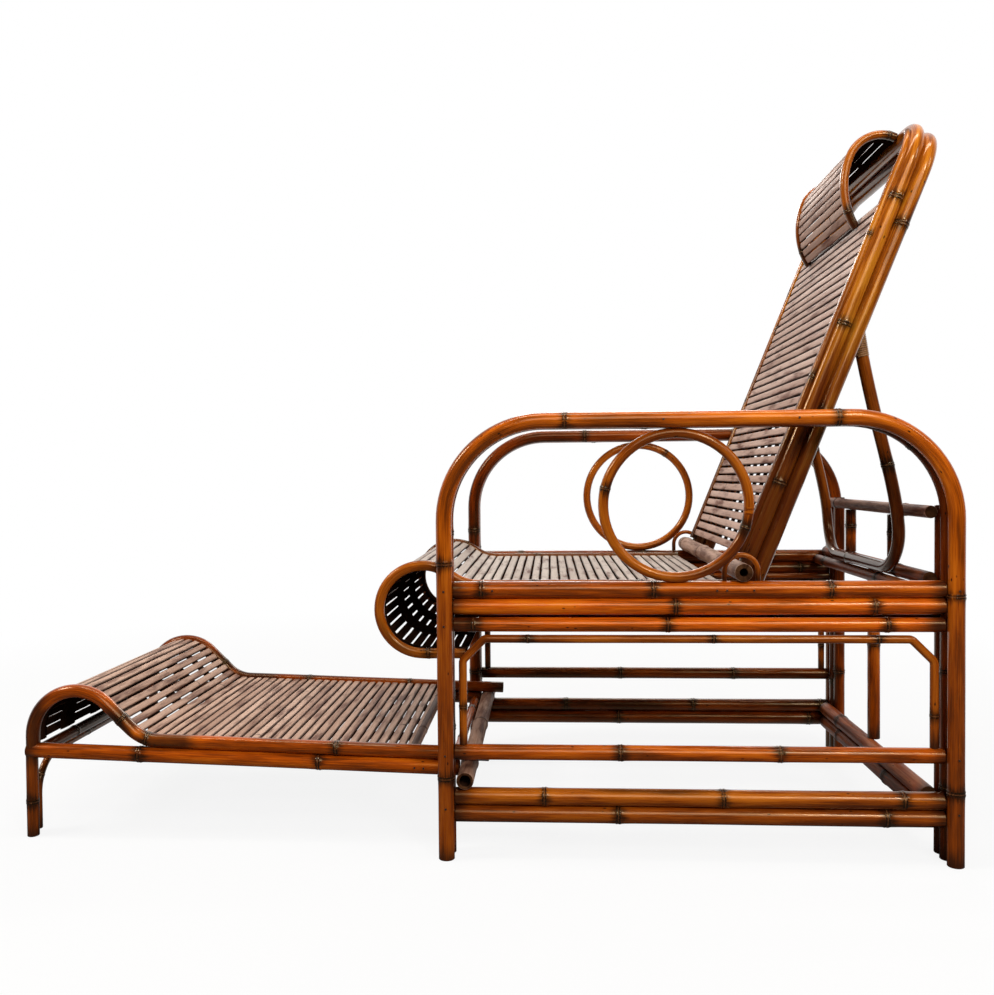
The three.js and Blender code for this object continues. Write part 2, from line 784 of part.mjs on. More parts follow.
const legTop = lowerRailAt(footLegX) - footLowerRailDiameter / 2 / Math.cos(footSlope)
  - footLegRadius * Math.tan(footSlope) - touchGap;
for (const side of sides) {
  const leg = poleAlongZ(footLegDiameter, legTop);
  piece(footrest, `${side.name}_footrest_leg`, leg, lacquer(), footLegX, side.sign * footLegY, legTop / 2);
}

// Upper rails: a hump at the front, then flat on the lower rails and over the slide tube
const humpStartX = -overallLength / 2 + humpSetback + footUpperRadius;
const humpStartZ = footRailFrontHeight + footLowerRailDiameter / 2 + touchGap;
const humpFrom = (z) => new Track(humpStartX, z, 90)
  .turn(humpRadius, -90 - humpFallDegrees)
  .straight(humpFall)
  .turn(humpFootRadius, humpFallDegrees - footSlopeDegrees);
const humpFlat = humpFrom(0).end;
const humpBendZ = lowerRailAt(humpFlat.x) + railPairPitch - humpFlat.z;
const flatRun = (slideTubeX + upperRailTail - humpFlat.x) / Math.cos(footSlope);
const humpTrack = new Track(humpStartX, humpStartZ, 90)
  .straight(humpBendZ - humpStartZ)
  .turn(humpRadius, -90 - humpFallDegrees)
  .straight(humpFall)
  .turn(humpFootRadius, humpFallDegrees - footSlopeDegrees)
  .straight(flatRun);

for (const side of sides) {
  const rail = trackPole(humpTrack, footUpperRailDiameter, caneSides);
  const name = `${side.name}_footrest_upper_rail`;
  piece(footrest, name, rail, lacquer(), 0, side.sign * footLegY, 0);
}

const footSlatLength = 2 * (footLegY - footUpperRadius - touchGap);
const footSlatEnd = humpTrack.length - upperRailTail - footSlatEndGap;
const footPanel = slatPanel(humpTrack, {
  slatWidth,
  thickness: slatThickness,
  pitch: footSlatPitch,
  length: footSlatLength,
  battens: footBattenCount,
  from: footSlatStart,
  to: footSlatEnd,
});
const endSlatPlace = humpTrack.at(footSlatEnd);
const endSlat = poleAlongY(endSlatDiameter, footSlatLength, caneSides);
endSlat.translate(endSlatPlace.x, 0, endSlatPlace.z);
piece(footrest, 'footrest_slats', joined([footPanel, endSlat]), bareSlat());

// Cross pieces of the footrest
const footInnerSpan = 2 * (footLegY - footLowerRailDiameter / 2 - touchGap);
const frontCrossX = footLegX + footCrossSetback;
const frontCross = poleAlongY(footCrossDiameter, footInnerSpan, caneSides);
piece(footrest, 'footrest_front_cross_bar', frontCross, lacquer(), frontCrossX, 0, lowerRailAt(frontCrossX));
const slideTubeLength = 2 * (railY + poleRadius);
const slideTube = openTube(slideTubeDiameter, slideTubeWall, slideTubeLength);
piece(footrest, 'footrest_slide_tube', slideTube, bareSlat(), slideTubeX, 0, slideTubeZ);
const tieBarX = slideTubeX - slideTubeDiameter / 2 - tieBarGap - tieBarDiameter / 2;
const tieBar = poleAlongY(tieBarDiameter, footInnerSpan, caneSides);
piece(footrest, 'footrest_tie_bar', tieBar, lacquer(), tieBarX, 0, lowerRailAt(tieBarX));

// Arched brace between the legs
const archRadius = archDiameter / 2;
const archY = footLegY - footLegRadius - touchGap - archRadius;
const archTrack = new Track(-archY, archFootClearance, 90)
  .straight(archHeight - archFootClearance - archBendRadius)
  .turn(archBendRadius, -90)
  .straight(2 * (archY - archBendRadius))
  .turn(archBendRadius, -90)
  .straight(archHeight - archFootClearance - archBendRadius);
const arch = trackPole(archTrack, archDiameter, caneSides).rotateZ(acrossTurn);
piece(footrest, 'footrest_arch_brace', arch, cane(), footLegX, 0, 0);

export default recliner;
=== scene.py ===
# %% [markdown]
# # A bamboo folding recliner
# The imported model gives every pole, slat panel and joint its place. This script builds the looks
# around it: each plain solid is hidden, and a lacquered bamboo pole, cane or slat panel with
# its own knots, wear and saw cuts stands in the same spot and moves with the same body.

# %% Load the frame
import math
import random

import bmesh
import bpy
from mathutils import Matrix, Vector, noise


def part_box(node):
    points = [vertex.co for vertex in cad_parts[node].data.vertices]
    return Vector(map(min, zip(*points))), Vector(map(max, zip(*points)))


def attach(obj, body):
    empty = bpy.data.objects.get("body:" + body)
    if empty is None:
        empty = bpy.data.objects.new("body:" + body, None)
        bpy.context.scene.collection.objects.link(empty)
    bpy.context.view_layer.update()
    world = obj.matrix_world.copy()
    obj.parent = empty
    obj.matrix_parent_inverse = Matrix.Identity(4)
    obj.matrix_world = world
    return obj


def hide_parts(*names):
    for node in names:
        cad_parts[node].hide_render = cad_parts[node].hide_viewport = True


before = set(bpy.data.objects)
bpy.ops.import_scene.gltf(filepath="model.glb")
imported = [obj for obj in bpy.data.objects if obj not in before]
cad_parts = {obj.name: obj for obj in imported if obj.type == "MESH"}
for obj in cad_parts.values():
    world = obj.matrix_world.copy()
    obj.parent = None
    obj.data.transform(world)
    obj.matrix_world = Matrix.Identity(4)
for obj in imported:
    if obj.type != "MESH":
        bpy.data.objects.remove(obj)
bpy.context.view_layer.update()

# The vector noise that bends the poles starts from the clock unless it is given a seed. Of the
# five seeds that were tried, this one keeps the poles closest inside the model's box.
noise.seed_set(3)

SIDES = (("left", -1), ("right", 1))

# %% [markdown]
# ## Sums on sockets
# A finish is a chain of nodes. Wiring them one by one hides the idea, so a small class wraps a
# socket and lets ordinary sums add the Math nodes. Colours never pass through those sums: they
# are blended with a Mix node, which keeps all three channels.

# %% Socket sums
class Wire:
    """One output socket that can be added, multiplied and compared."""

    def __init__(self, finish, socket):
        self.finish = finish
        self.socket = socket

    def sum(self, operation, first, second=0.0):
        return self.finish.add("ShaderNodeMath", {"operation": operation}, {0: first, 1: second})

    def __add__(self, other): return self.sum("ADD", self, other)
    def __radd__(self, other): return self.sum("ADD", other, self)
    def __sub__(self, other): return self.sum("SUBTRACT", self, other)
    def __rsub__(self, other): return self.sum("SUBTRACT", other, self)
    def __mul__(self, other): return self.sum("MULTIPLY", self, other)
    def __rmul__(self, other): return self.sum("MULTIPLY", other, self)


class Finish:
    """A material, or the world, whose nodes are added by type, settings and inputs."""

    def __init__(self, name, home=None):
        self.material = home or bpy.data.materials.new(name)
        self.material.use_nodes = True
        self.nodes = self.material.node_tree.nodes
        self.links = self.material.node_tree.links
        self.nodes.clear()

    def add(self, kind, settings=None, inputs=None, out=0):
        node = self.nodes.new(kind)
        for key, value in (settings or {}).items():
            if key == "stops":
                ramp = node.color_ramp
                while len(ramp.elements) < len(value):
                    ramp.elements.new(0.5)
                for element, (place, colour) in zip(ramp.elements, value):
                    element.position = place
                    element.color = (*colour, 1.0)
            else:
                setattr(node, key, value)
        for key, value in (inputs or {}).items():
            if isinstance(value, Wire):
                self.links.new(value.socket, node.inputs[key])
            else:
                node.inputs[key].default_value = value
        return Wire(self, node.outputs[out]) if node.outputs else None

    def attribute(self, name, out="Fac"):
        return self.add("ShaderNodeAttribute", {"attribute_name": name}, out=out)

    def stretch(self, vector, scale, shift=(0.0, 0.0, 0.0)):
        return self.add("ShaderNodeVectorMath", {"operation": "MULTIPLY_ADD"},
                        {0: vector, 1: scale, 2: shift})

    def noise(self, vector, scale=1.0, detail=2.0, rough=0.5):
        return self.add("ShaderNodeTexNoise", {},
                        {"Vector": vector, "Scale": scale, "Detail": detail, "Roughness": rough})

    def step(self, value, low, high, start=0.0, end=1.0):
        return self.add("ShaderNodeMapRange", {"interpolation_type": "SMOOTHSTEP"},
                        {0: value, 1: low, 2: high, 3: start, 4: end})

    def blend(self, share, first, second, mode="MIX"):
        pair = [(*c, 1.0) if isinstance(c, tuple) else c for c in (first, second)]
        return self.add("ShaderNodeMix", {"data_type": "RGBA", "blend_type": mode},
                        {0: share, 6: pair[0], 7: pair[1]}, out=2)

    def surface(self, **sockets):
        names = {key.replace("_", " ").title().replace("Ior", "IOR"): value
                 for key, value in sockets.items()}
        shader = self.add("ShaderNodeBsdfPrincipled", {}, names)
        self.add("ShaderNodeOutputMaterial", {}, {"Surface": shader})
        return self.material


# %% [markdown]
# ## Lacquered bamboo
# The real poles are bamboo with the skin left on, smoked and lacquered. The skin has fine
# fibres that run along the pole, broad bands of tone, scorched patches, dark insect bites, and
# a black-brown stain round every knot. Each pole stores a "grain" vector (distance along it,
# then the place round it) and its distance to the nearest knot, so one finish follows every bend.

# %% Pole finish
def bamboo_finish(name, deep, middle, bright, scorch, gloss, darken_below=None, coat=0.21, shine=0.55):
    f = Finish(name)
    grain = f.attribute("grain", "Vector")
    knot = f.attribute("knot")
    fibre = f.noise(f.stretch(grain, (16.0, 620.0, 620.0)), detail=3.0, rough=0.6)
    hair = f.noise(f.stretch(grain, (50.0, 2100.0, 2100.0)), detail=2.0)
    band = f.noise(f.stretch(grain, (7.0, 60.0, 60.0)), detail=3.0, rough=0.55)
    cloud = f.noise(f.stretch(grain, (3.4, 26.0, 26.0), (7.0, 3.0, 1.0)), detail=2.0)
    tone = f.step(band * 0.5 + fibre * 0.33 + cloud * 0.37, 0.45, 0.77)
    skin = f.add("ShaderNodeValToRGB", {"stops": [(0.0, deep), (0.45, middle), (1.0, bright)]}, {0: tone})

    # Darker towards the bottom of the piece, between two heights
    if darken_below:
        low, high, share = darken_below
        place = f.add("ShaderNodeTexCoord", out="Object")
        height = f.add("ShaderNodeSeparateXYZ", {}, {0: place}, out="Z")
        below_share = f.step(height + (band - 0.5) * 0.25, low, high, share, 0.0)
        skin = f.blend(below_share, skin, (0.070, 0.011, 0.003))

    # Scorched patches with soft feathered ends
    burnt = f.step(cloud + fibre * 0.16, 0.74 - scorch, 0.90 - scorch)
    skin = f.blend(burnt * 0.85, skin, (0.022, 0.005, 0.002))

    # Insect bites under the lacquer
    cells = f.stretch(grain, (42.0, 95.0, 95.0))
    bite = f.add("ShaderNodeTexVoronoi", {"feature": "F1"}, {"Vector": cells, "Scale": 1.0}, out="Distance")
    pick = f.noise(f.stretch(grain, (31.0, 50.0, 50.0), (2.0, 5.0, 9.0)), detail=0.0)
    spot = f.step(bite, 0.06, 0.15, 1.0, 0.0) * f.step(pick, 0.56, 0.6)
    skin = f.blend(spot * 0.9, skin, (0.010, 0.003, 0.002))

    # Dirt and painted shade where an end meets its neighbour, and the same darkening on each listed dark
    # stretch
    tip = f.attribute("tip")
    skin = f.blend(f.step(tip + (band - 0.5) * 0.05, 0.0, 0.034, 0.88, 0.0), skin, (0.024, 0.006, 0.003))

    # Ragged stain round each knot, black in the broken grooves, with a paler scar between them
    jagged = knot + (hair - 0.5) * 0.0024 + (fibre - 0.5) * 0.0030
    ragged = knot + (fibre - 0.5) * 0.020 + (band - 0.5) * 0.034
    stain = f.step(ragged, 0.002, 0.018, 1.0, 0.0)
    skin = f.blend(stain * 0.85, skin, (0.014, 0.004, 0.002))
    broken = f.step(f.noise(f.stretch(grain, (20.0, 190.0, 190.0), (3.0, 1.0, 7.0)), detail=1.0), 0.34, 0.52)
    groove = f.step(jagged, 0.0006, 0.0016) * f.step(jagged, 0.0026, 0.0044, 1.0, 0.0) * broken
    skin = f.blend(groove * 0.9, skin, (0.005, 0.002, 0.001))
    scar = f.step(jagged, 0.0, 0.0010, 1.0, 0.0) * (1.0 - broken * 0.6)
    skin = f.blend(scar * 0.6, skin, (0.30, 0.13, 0.05))

    worn = f.step(f.noise(f.stretch(grain, (22.0, 130.0, 130.0), (4.0, 4.0, 4.0)), detail=4.0), 0.55, 0.78)
    height = fibre * 0.5 + hair * 0.25 - spot * 0.8 - groove * 1.6 + band * 0.8
    bump = f.add("ShaderNodeBump", {}, {"Strength": 0.3, "Distance": 0.0007, "Height": height})
    return f.surface(base_color=skin, roughness=gloss + worn * 0.16, specular_ior_level=shine,
                     specular_tint=(1.0, 0.62, 0.24, 1.0),
                     coat_weight=coat - worn * coat * 0.45, coat_roughness=0.11, coat_ior=1.5,
                     ior=1.45, normal=bump)


lacquer = bamboo_finish("lacquered_bamboo", (0.16, 0.027, 0.002), (0.48, 0.078, 0.002),
                        (0.76, 0.168, 0.006), 0.05, 0.2)
amber = bamboo_finish("amber_rail_bamboo", (0.25, 0.043, 0.002), (0.74, 0.120, 0.003),
                      (0.91, 0.228, 0.007), 0.03, 0.2)
ruddy = bamboo_finish("lacquered_hoop_bamboo", (0.17, 0.032, 0.002), (0.53, 0.100, 0.003),
                      (0.84, 0.200, 0.008), 0.04, 0.2, darken_below=(0.30, 0.66, 0.50))
rubbed = bamboo_finish("rubbed_cross_pole_bamboo", (0.12, 0.022, 0.003), (0.36, 0.070, 0.012),
                       (0.62, 0.200, 0.070), 0.10, 0.46, coat=0.03, shine=0.2)
# A darker copy of the lacquer with painted shade, for the far right-hand poles and for inner hoops, inner
# posts, bearers, cross poles, the prop rod and the footrest's front bar.
shaded = bamboo_finish("dark_lacquered_bamboo", (0.04, 0.006, 0.001), (0.17, 0.023, 0.001),
                       (0.35, 0.060, 0.003), 0.09, 0.24, coat=0.09, shine=0.4)
rind = bamboo_finish("lacquered_cane", (0.12, 0.020, 0.002), (0.35, 0.070, 0.003),
                     (0.57, 0.148, 0.008), 0.04, 0.2)
smoked = bamboo_finish("smoked_hoop_bamboo", (0.18, 0.032, 0.003), (0.55, 0.142, 0.006),
                       (0.84, 0.320, 0.020), 0.06, 0.18, darken_below=(0.56, 1.10, 0.88))
# A dark copy of the cane with painted shade, for the prop at the rear and the far right-hand seat edge pole;
# it darkens further towards the bottom.
shade_painted_cane = bamboo_finish("smoked_prop_cane", (0.07, 0.013, 0.002), (0.19, 0.036, 0.002),
                      (0.36, 0.085, 0.005), 0.06, 0.22, darken_below=(0.44, 0.70, 0.8), coat=0.16)
print("pole finishes", lacquer.name, shaded.name, rind.name, smoked.name, shade_painted_cane.name)

# %% [markdown]
# ## Worn slats
# The slats are split strips with the lacquer rubbed off by use: pinkish grey-brown fibre on top,
# with rests of red-brown lacquer, dark knots and dirt in the grain. The tint changes from
# slat to slat, so each slat starts its grain at another place.

# %% Slat and worn pole finishes
def worn_finish(name, pale, grey, brown, dirt, gloss, coat, edge=None):
    f = Finish(name)
    grain = f.attribute("grain", "Vector")
    knot = f.attribute("knot")
    fibre = f.noise(f.stretch(grain, (14.0, 520.0, 520.0)), detail=4.0, rough=0.65)
    hair = f.noise(f.stretch(grain, (46.0, 1900.0, 1900.0)), detail=2.0)
    patch = f.noise(f.stretch(grain, (9.0, 55.0, 55.0), (1.0, 8.0, 2.0)), detail=4.0, rough=0.6)
    tint = f.noise(f.stretch(grain, (0.9, 14.0, 14.0), (5.0, 1.0, 4.0)), detail=1.0)
    skin = f.blend(f.step(fibre * 0.5 + tint * 0.7, 0.42, 0.76), grey, pale)
    skin = f.blend(f.step(patch + fibre * 0.25, 0.66 - dirt, 0.90 - dirt) * 0.85, skin, brown)
    skin = f.blend(f.step(hair * 0.5 + fibre * 0.5, 0.3, 0.42, 1.0, 0.0) * 0.65, skin, (0.030, 0.014, 0.010))
    if edge:
        across = f.add("ShaderNodeMath", {"operation": "ABSOLUTE"},
                       {0: f.add("ShaderNodeSeparateXYZ", {}, {0: grain}, out="Y")})
        skin = f.blend(f.step(across + (fibre - 0.5) * 0.0016, edge, edge + 0.0018, 0.0, 0.8), skin,
                       (0.035, 0.013, 0.008))
    ragged = knot + (fibre - 0.5) * 0.008 + (patch - 0.5) * 0.008
    skin = f.blend(f.step(ragged, 0.0, 0.005, 1.0, 0.0) * 0.8, skin, (0.022, 0.009, 0.006))
    height = fibre * 0.9 + hair * 0.3 + patch * 0.5
    bump = f.add("ShaderNodeBump", {}, {"Strength": 0.45, "Distance": 0.0008, "Height": height})
    return f.surface(base_color=skin, roughness=gloss + fibre * 0.2, specular_ior_level=coat * 0.4,
                     coat_weight=coat - patch * coat * 0.6, coat_roughness=0.25, coat_ior=1.5, normal=bump)


seat_finish = worn_finish("worn_seat_slats", (0.64, 0.55, 0.48), (0.45, 0.36, 0.30), (0.13, 0.042, 0.024),
                          0.04, 0.42, 0.10, 0.0050)
back_finish = worn_finish("worn_back_slats", (0.80, 0.57, 0.47), (0.56, 0.36, 0.28), (0.15, 0.046, 0.026),
                          0.06, 0.45, 0.05, 0.0050)
foot_finish = worn_finish("worn_footrest_slats", (0.66, 0.44, 0.33), (0.42, 0.25, 0.175),
                          (0.11, 0.036, 0.020), 0.09, 0.42, 0.12, 0.0046)
tube_finish = worn_finish("worn_slide_tube", (0.62, 0.42, 0.32), (0.36, 0.19, 0.12), (0.11, 0.034, 0.016),
                          0.12, 0.42, 0.08)
pale_finish = worn_finish("worn_pole", (0.56, 0.33, 0.25), (0.38, 0.17, 0.10), (0.10, 0.026, 0.013),
                          0.10, 0.4, 0.08)
# The sawn end grain is kept dark; on ends that butt against other parts this is painted shade.
sawn_finish = worn_finish("sawn_end", (0.13, 0.055, 0.022), (0.06, 0.022, 0.010), (0.02, 0.007, 0.004),
                          0.1, 0.6, 0.0)
# Painted shade: a near-black finish for the tube hollows, the slats' undersides and the battens.
painted_shade_finish = worn_finish("painted_shade_inside", (0.045, 0.018, 0.010), (0.022, 0.009, 0.005), (0.006, 0.003, 0.002),
                          0.1, 0.5, 0.0)
print("worn finishes", seat_finish.name, back_finish.name, foot_finish.name, pale_finish.name)

# %% [markdown]
# ## A centre line
# Every pole follows straight and bent runs in one plane, as a steamed and bent pole does. The
# route keeps those runs and gives the point and the direction at any distance.

# %% Route
class Route:
    """Straight and bent runs. Positive turns follow the right-hand rule about the axis."""

    def __init__(self, start, ahead, axis):
        self.axis = Vector(axis).normalized()
        self.runs = []
        self.length = 0.0
        self.last = (Vector(start), Vector(ahead).normalized())

    def _along(self, run, distance):
        _, _, point, ahead, radius, sign = run
        if radius == 0.0:
            return point + ahead * distance, ahead
        spin = Matrix.Rotation(sign * distance / radius, 3, self.axis)
        centre = point + sign * radius * self.axis.cross(ahead)
        return centre + spin @ (point - centre), spin @ ahead

    def _add(self, length, radius=0.0, sign=1.0):
        run = (self.length, length, *self.last, radius, sign)
        self.runs.append(run)
        self.length += length
        self.last = self._along(run, length)
        return self

    def straight(self, length):
        return self._add(length)

    def turn(self, radius, degrees):
        return self._add(radius * abs(math.radians(degrees)), radius, math.copysign(1.0, degrees))

    def at(self, distance):
        distance = min(max(distance, 0.0), self.length)
        run = next((r for r in reversed(self.runs) if r[0] <= distance), self.runs[0])
        return self._along(run, distance - run[0])

    def frame(self, distance):
        """Columns: the bend axis, the side, the direction; then the place."""
        point, ahead = self.at(distance)
        side = ahead.cross(self.axis)
        return Matrix.Translation(point) @ Matrix((self.axis, side, ahead)).transposed().to_4x4()


# %% [markdown]
# ## A bamboo pole
# A pole could be a bevelled curve, but then a knot could not swell and the grain would have no
# place to live. Here a ring of edges is extruded along the route. Rings stand close together at
# a knot, where the skin rises to a sheath ridge and a rounder lip. The grain and the distance
# to the knot are written on each ring as it is made.

# %% Pole maker
KNOT_STEPS = (-0.030, -0.016, -0.009, -0.006, -0.0042, -0.0030, -0.0020, -0.0011, -0.0004, 0.0,
              0.0006, 0.0014, 0.0024, 0.0036, 0.0050, 0.0075, 0.012, 0.020, 0.032)
made = []


def knot_swell(offset, size):
    """How much wider the pole is at this distance from a knot."""
    x = offset / size
    ridge = 0.062 * math.exp(-(((x + 0.085) / 0.055) ** 2))
    lip = 0.075 * math.exp(-(((x - 0.10) / 0.085) ** 2))
    flare = 0.03 * math.exp(-((x / 0.55) ** 2))
    return ridge + lip + flare


def stations(route, size, knots, start, end, step):
    marks = {start, end}
    for run in route.runs:
        low, high = max(run[0], start), min(run[0] + run[1], end)
        if high <= low:
            continue
        pitch = min(step, run[4] * 0.12) if run[4] else step * 2
        count = max(1, math.ceil((high - low) / pitch))
        marks.update(low + (high - low) * i / count for i in range(count + 1))
    for knot in knots:
        marks.update(knot + offset * size / 0.026 for offset in KNOT_STEPS
                     if start < knot + offset * size / 0.026 < end)
    ordered = sorted(marks)
    kept = [ordered[0]]
    for mark in ordered[1:]:
        if mark - kept[-1] > 0.00025:
            kept.append(mark)
    kept[-1] = end
    return kept


def write_ring(bm, ring, frame_matrix, along, gap, grain, knot, to_tip):
    back = frame_matrix.inverted()
    tip = bm.verts.layers.float["tip"]
    for v in ring:
        local = back @ v.co
        v[grain] = Vector((along, local.x, local.y))
        v[knot] = gap
        v[tip] = to_tip


def new_pole_mesh():
    bm = bmesh.new()
    bm.verts.layers.float.new("tip")
    return bm, bm.verts.layers.float_vector.new("grain"), bm.verts.layers.float.new("knot")


def sweep(bm, grain, knot, route, size, knots=(), start=0.0, end=None, sides=20, step=0.012, seed="pole",
          flat=1.0, slim=1.0, bow=None, closed=False, chamfer=0.0007, sag=0.00035, burns=()):
    """Extrudes a ring along the route and closes both ends. Returns the two end rings.
    The listed dark stretches are darkened like the ends; on the footrest's front cross bar this is painted
    shade."""
    end = route.length if end is None else end
    rng = random.Random(seed)
    shift = rng.uniform(0.0, 40.0)
    radius = size / 2 * slim
    marks = stations(route, size, knots, start, end, step)
    if closed:
        marks = marks[:-1]
    elif chamfer:
        marks = [marks[0], marks[0] + chamfer, *[m for m in marks[1:-1]
                 if marks[0] + chamfer < m < marks[-1] - chamfer], marks[-1] - chamfer, marks[-1]]

    def placed(mark):
        base = route.frame(mark)
        if bow:
            base = Matrix.Translation(bow(mark)) @ base
        if not closed:
            w = noise.noise_vector(Vector((mark * 4.0 + shift, shift, 0.0))) * sag
            base = Matrix.Translation(base.to_3x3() @ Vector((w.x, w.y, 0.0))) @ base
        gap = min((abs(mark - k) for k in knots), default=1.0)
        wide = 1.0 + sum(knot_swell(mark - k, size) for k in knots)
        wide *= 1.0 + 0.012 * noise.noise(Vector((mark * 9.0, shift, 3.0)))
        if chamfer and not closed and (mark == marks[0] or mark == marks[-1]):
            wide *= 1.0 - chamfer / radius
        return base, base @ Matrix.Diagonal((radius * wide * flat, radius * wide, 1.0, 1.0)), min(gap, 0.06)

    base, scaled, gap = placed(marks[0])
    ring = bmesh.ops.create_circle(bm, cap_ends=False, segments=sides, radius=1.0, matrix=scaled)["verts"]
    first = list(ring)
    write_ring(bm, ring, base, marks[0] + shift, gap, grain, knot, 0.05 if closed else 0.0)
    edges = list(dict.fromkeys(e for v in ring for e in v.link_edges))
    first_edges = list(edges)
    before = scaled
    for mark in marks[1:]:
        base, scaled, gap = placed(mark)
        made_now = bmesh.ops.extrude_edge_only(bm, edges=edges)["geom"]
        fresh = [g for g in made_now if isinstance(g, bmesh.types.BMVert)]
        edges = [g for g in made_now if isinstance(g, bmesh.types.BMEdge)]
        if len(edges) > sides:
            edges = [e for e in edges if e.verts[0] in fresh and e.verts[1] in fresh]
        bmesh.ops.transform(bm, matrix=scaled @ before.inverted(), verts=fresh)
        to_tip = 0.05 if closed else min(mark - marks[0], marks[-1] - mark, 0.05)
        to_tip = min([to_tip, *(max(low - mark, mark - high, 0.0) for low, high in burns)])
        write_ring(bm, fresh, base, mark + shift, gap, grain, knot, to_tip)
        before, ring = scaled, fresh
    if closed:
        bmesh.ops.bridge_loops(bm, edges=first_edges + edges)
        return first, ring
    for loop in (first_edges, edges):
        bmesh.ops.contextual_create(bm, geom=loop)
    return first, ring


def settle(bm, name, body, nodes, finishes, smooth=38.0):
    """Turns a bmesh into a piece that rides on its body and stands for its solids."""
    bmesh.ops.recalc_face_normals(bm, faces=bm.faces)
    mesh = bpy.data.meshes.new(name)
    bm.to_mesh(mesh)
    bm.free()
    for finish in finishes:
        mesh.materials.append(finish)
    mesh.shade_smooth()
    mesh.set_sharp_from_angle(angle=math.radians(smooth))
    piece = bpy.data.objects.new(name, mesh)
    bpy.context.scene.collection.objects.link(piece)
    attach(piece, body)
    if nodes:
        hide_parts(*nodes)
    made.append((name, len(mesh.polygons)))
    return piece


def knots_along(length, seed, gap=0.27, first=0.08):
    """Knots at the uneven spacing of real bamboo."""
    rng = random.Random(seed)
    places, here = [], first + rng.uniform(0.0, 0.12)
    while here < length - 0.03:
        places.append(here)
        here += gap * rng.uniform(0.82, 1.18)
    return places


def pole(name, body, slot, node, route, size, knots, finish, **shape):
    bm, grain, knot = new_pole_mesh()
    first, last = sweep(bm, grain, knot, route, size, knots, seed=name, **shape)
    if not shape.get("closed"):
        for face in bm.faces:
            if len(face.verts) > 4:
                face.material_index = 1
    return settle(bm, name, body, [node] if node else [], [finish, sawn_finish])


# %% [markdown]
# ## Arm hoops
# On each side two poles lie side by side, each bent into front leg, arm and rear leg. Their
# places come from the frame's own boxes. The knots of the outer hoop are where they show: two on
# the front leg, two on the arm and one on the rear leg.

# %% Arm hoops
ARM_BEND = 0.155
X_AXIS, Y_AXIS, Z_AXIS = Vector((1, 0, 0)), Vector((0, 1, 0)), Vector((0, 0, 1))


def hoop_route(node, bend):
    low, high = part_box(node)
    size = high.y - low.y
    y = (low.y + high.y) / 2
    leg = high.z - size / 2 - bend
    across = high.x - low.x - size - 2 * bend
    route = Route((low.x + size / 2, y, 0.0), Z_AXIS, Y_AXIS)
    return route.straight(leg).turn(bend, 90).straight(across).turn(bend, 90).straight(leg), size


hoop_knots = {
    "left_outer": (0.128, 0.463, 0.806, 1.219, 1.601, 1.9),
    "left_inner": (0.20, 0.51, 0.93, 1.35, 1.72, 1.90),
    "right_outer": (0.15, 0.44, 0.88, 1.30, 1.66, 1.93),
    "right_inner": (0.17, 0.48, 0.86, 1.18, 1.56, 1.86),
}
for key, knots in hoop_knots.items():
    node = f"{key}_arm_hoop"
    route, size = hoop_route(node, ARM_BEND)
    # The inner hoops take the finish with painted shade.
    finish = ruddy if "outer" in key else shaded
    slot = "lacquered_pole" if "outer" in key else "dark_pole"
    pole(f"{node}_bamboo", "base", slot, node, route, size, knots, finish,
         sides=26, flat=0.94, slim=0.965, sag=0.0002)
print("arm hoops", made[-4:])

# %% [markdown]
# ## Straight poles
# Rails, posts and cross poles are straight cuts. The longest side of a solid's box is its
# direction and the middle of the two short sides its centre line, so one helper serves them all.

# %% Straight poles
def straight_route(node):
    low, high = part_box(node)
    spans = high - low
    axis = max(range(3), key=lambda i: spans[i])
    size = sorted(spans)[1]
    start = (low + high) / 2
    start[axis] = low[axis]
    ahead = Vector((0, 0, 0))
    ahead[axis] = 1.0
    side = Z_AXIS if axis != 2 else X_AXIS
    return Route(start, ahead, side).straight(spans[axis]), size


def straight_pole(node, body, finish, slot, knots=None, **shape):
    route, size = straight_route(node)
    knots = knots_along(route.length, node) if knots is None else knots
    return pole(f"{node}_bamboo", body, slot, node, route, size, knots, finish, **shape)


rail_knots = {
    "upper_seat_rail": (0.044, 0.311, 0.580),
    "middle_seat_rail": (0.345, 0.646),
    "lower_seat_rail": (0.031, 0.333, 0.666),
    "guide_rail": (0.259, 0.504),
    "upper_floor_rail": (0.140, 0.417, 0.690),
    "lower_floor_rail": (0.255, 0.664),
}
# The far right-hand rails, and the inner posts and bearers on both sides, take the finish with painted
# shade.
for side, sign in SIDES:
    for rail, knots in rail_knots.items():
        places = [k + (0.0 if sign < 0 else 0.045) for k in knots]
        wide = {"lower_seat_rail": 1.14, "upper_floor_rail": 1.03}.get(rail, 1.04)
        near = {"middle_seat_rail": amber, "lower_seat_rail": amber, "lower_floor_rail": ruddy,
                "upper_floor_rail": rind}.get(rail, lacquer)
        straight_pole(f"{side}_{rail}", "base", near if sign < 0 else shaded, "lacquered_pole",
                      places, slim=wide)
    straight_pole(f"{side}_rear_inner_post", "base", shaded, "dark_pole", (0.178, 0.41))
    straight_pole(f"{side}_stop_post", "base", lacquer, "dark_pole", (0.05,))
    low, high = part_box(f"{side}_middle_seat_rail")
    inner = Route((low.x + 0.001, (low.y + high.y) / 2 - sign * 0.015, low.z - 0.003), X_AXIS, Z_AXIS)
    pole(f"{side}_inner_bearer", "base", "dark_pole", None, inner.straight(high.x - low.x - 0.002), 0.013,
         (0.2, 0.5), shaded, sides=12)
for node in ("rear_upper_cross_pole", "rear_lower_cross_pole"):
    straight_pole(node, "base", rubbed, "lacquered_pole", slim=1.04)
for node in ("rear_seat_cross_rail", "prop_rest_pole"):
    straight_pole(node, "base", rubbed, "dark_pole")
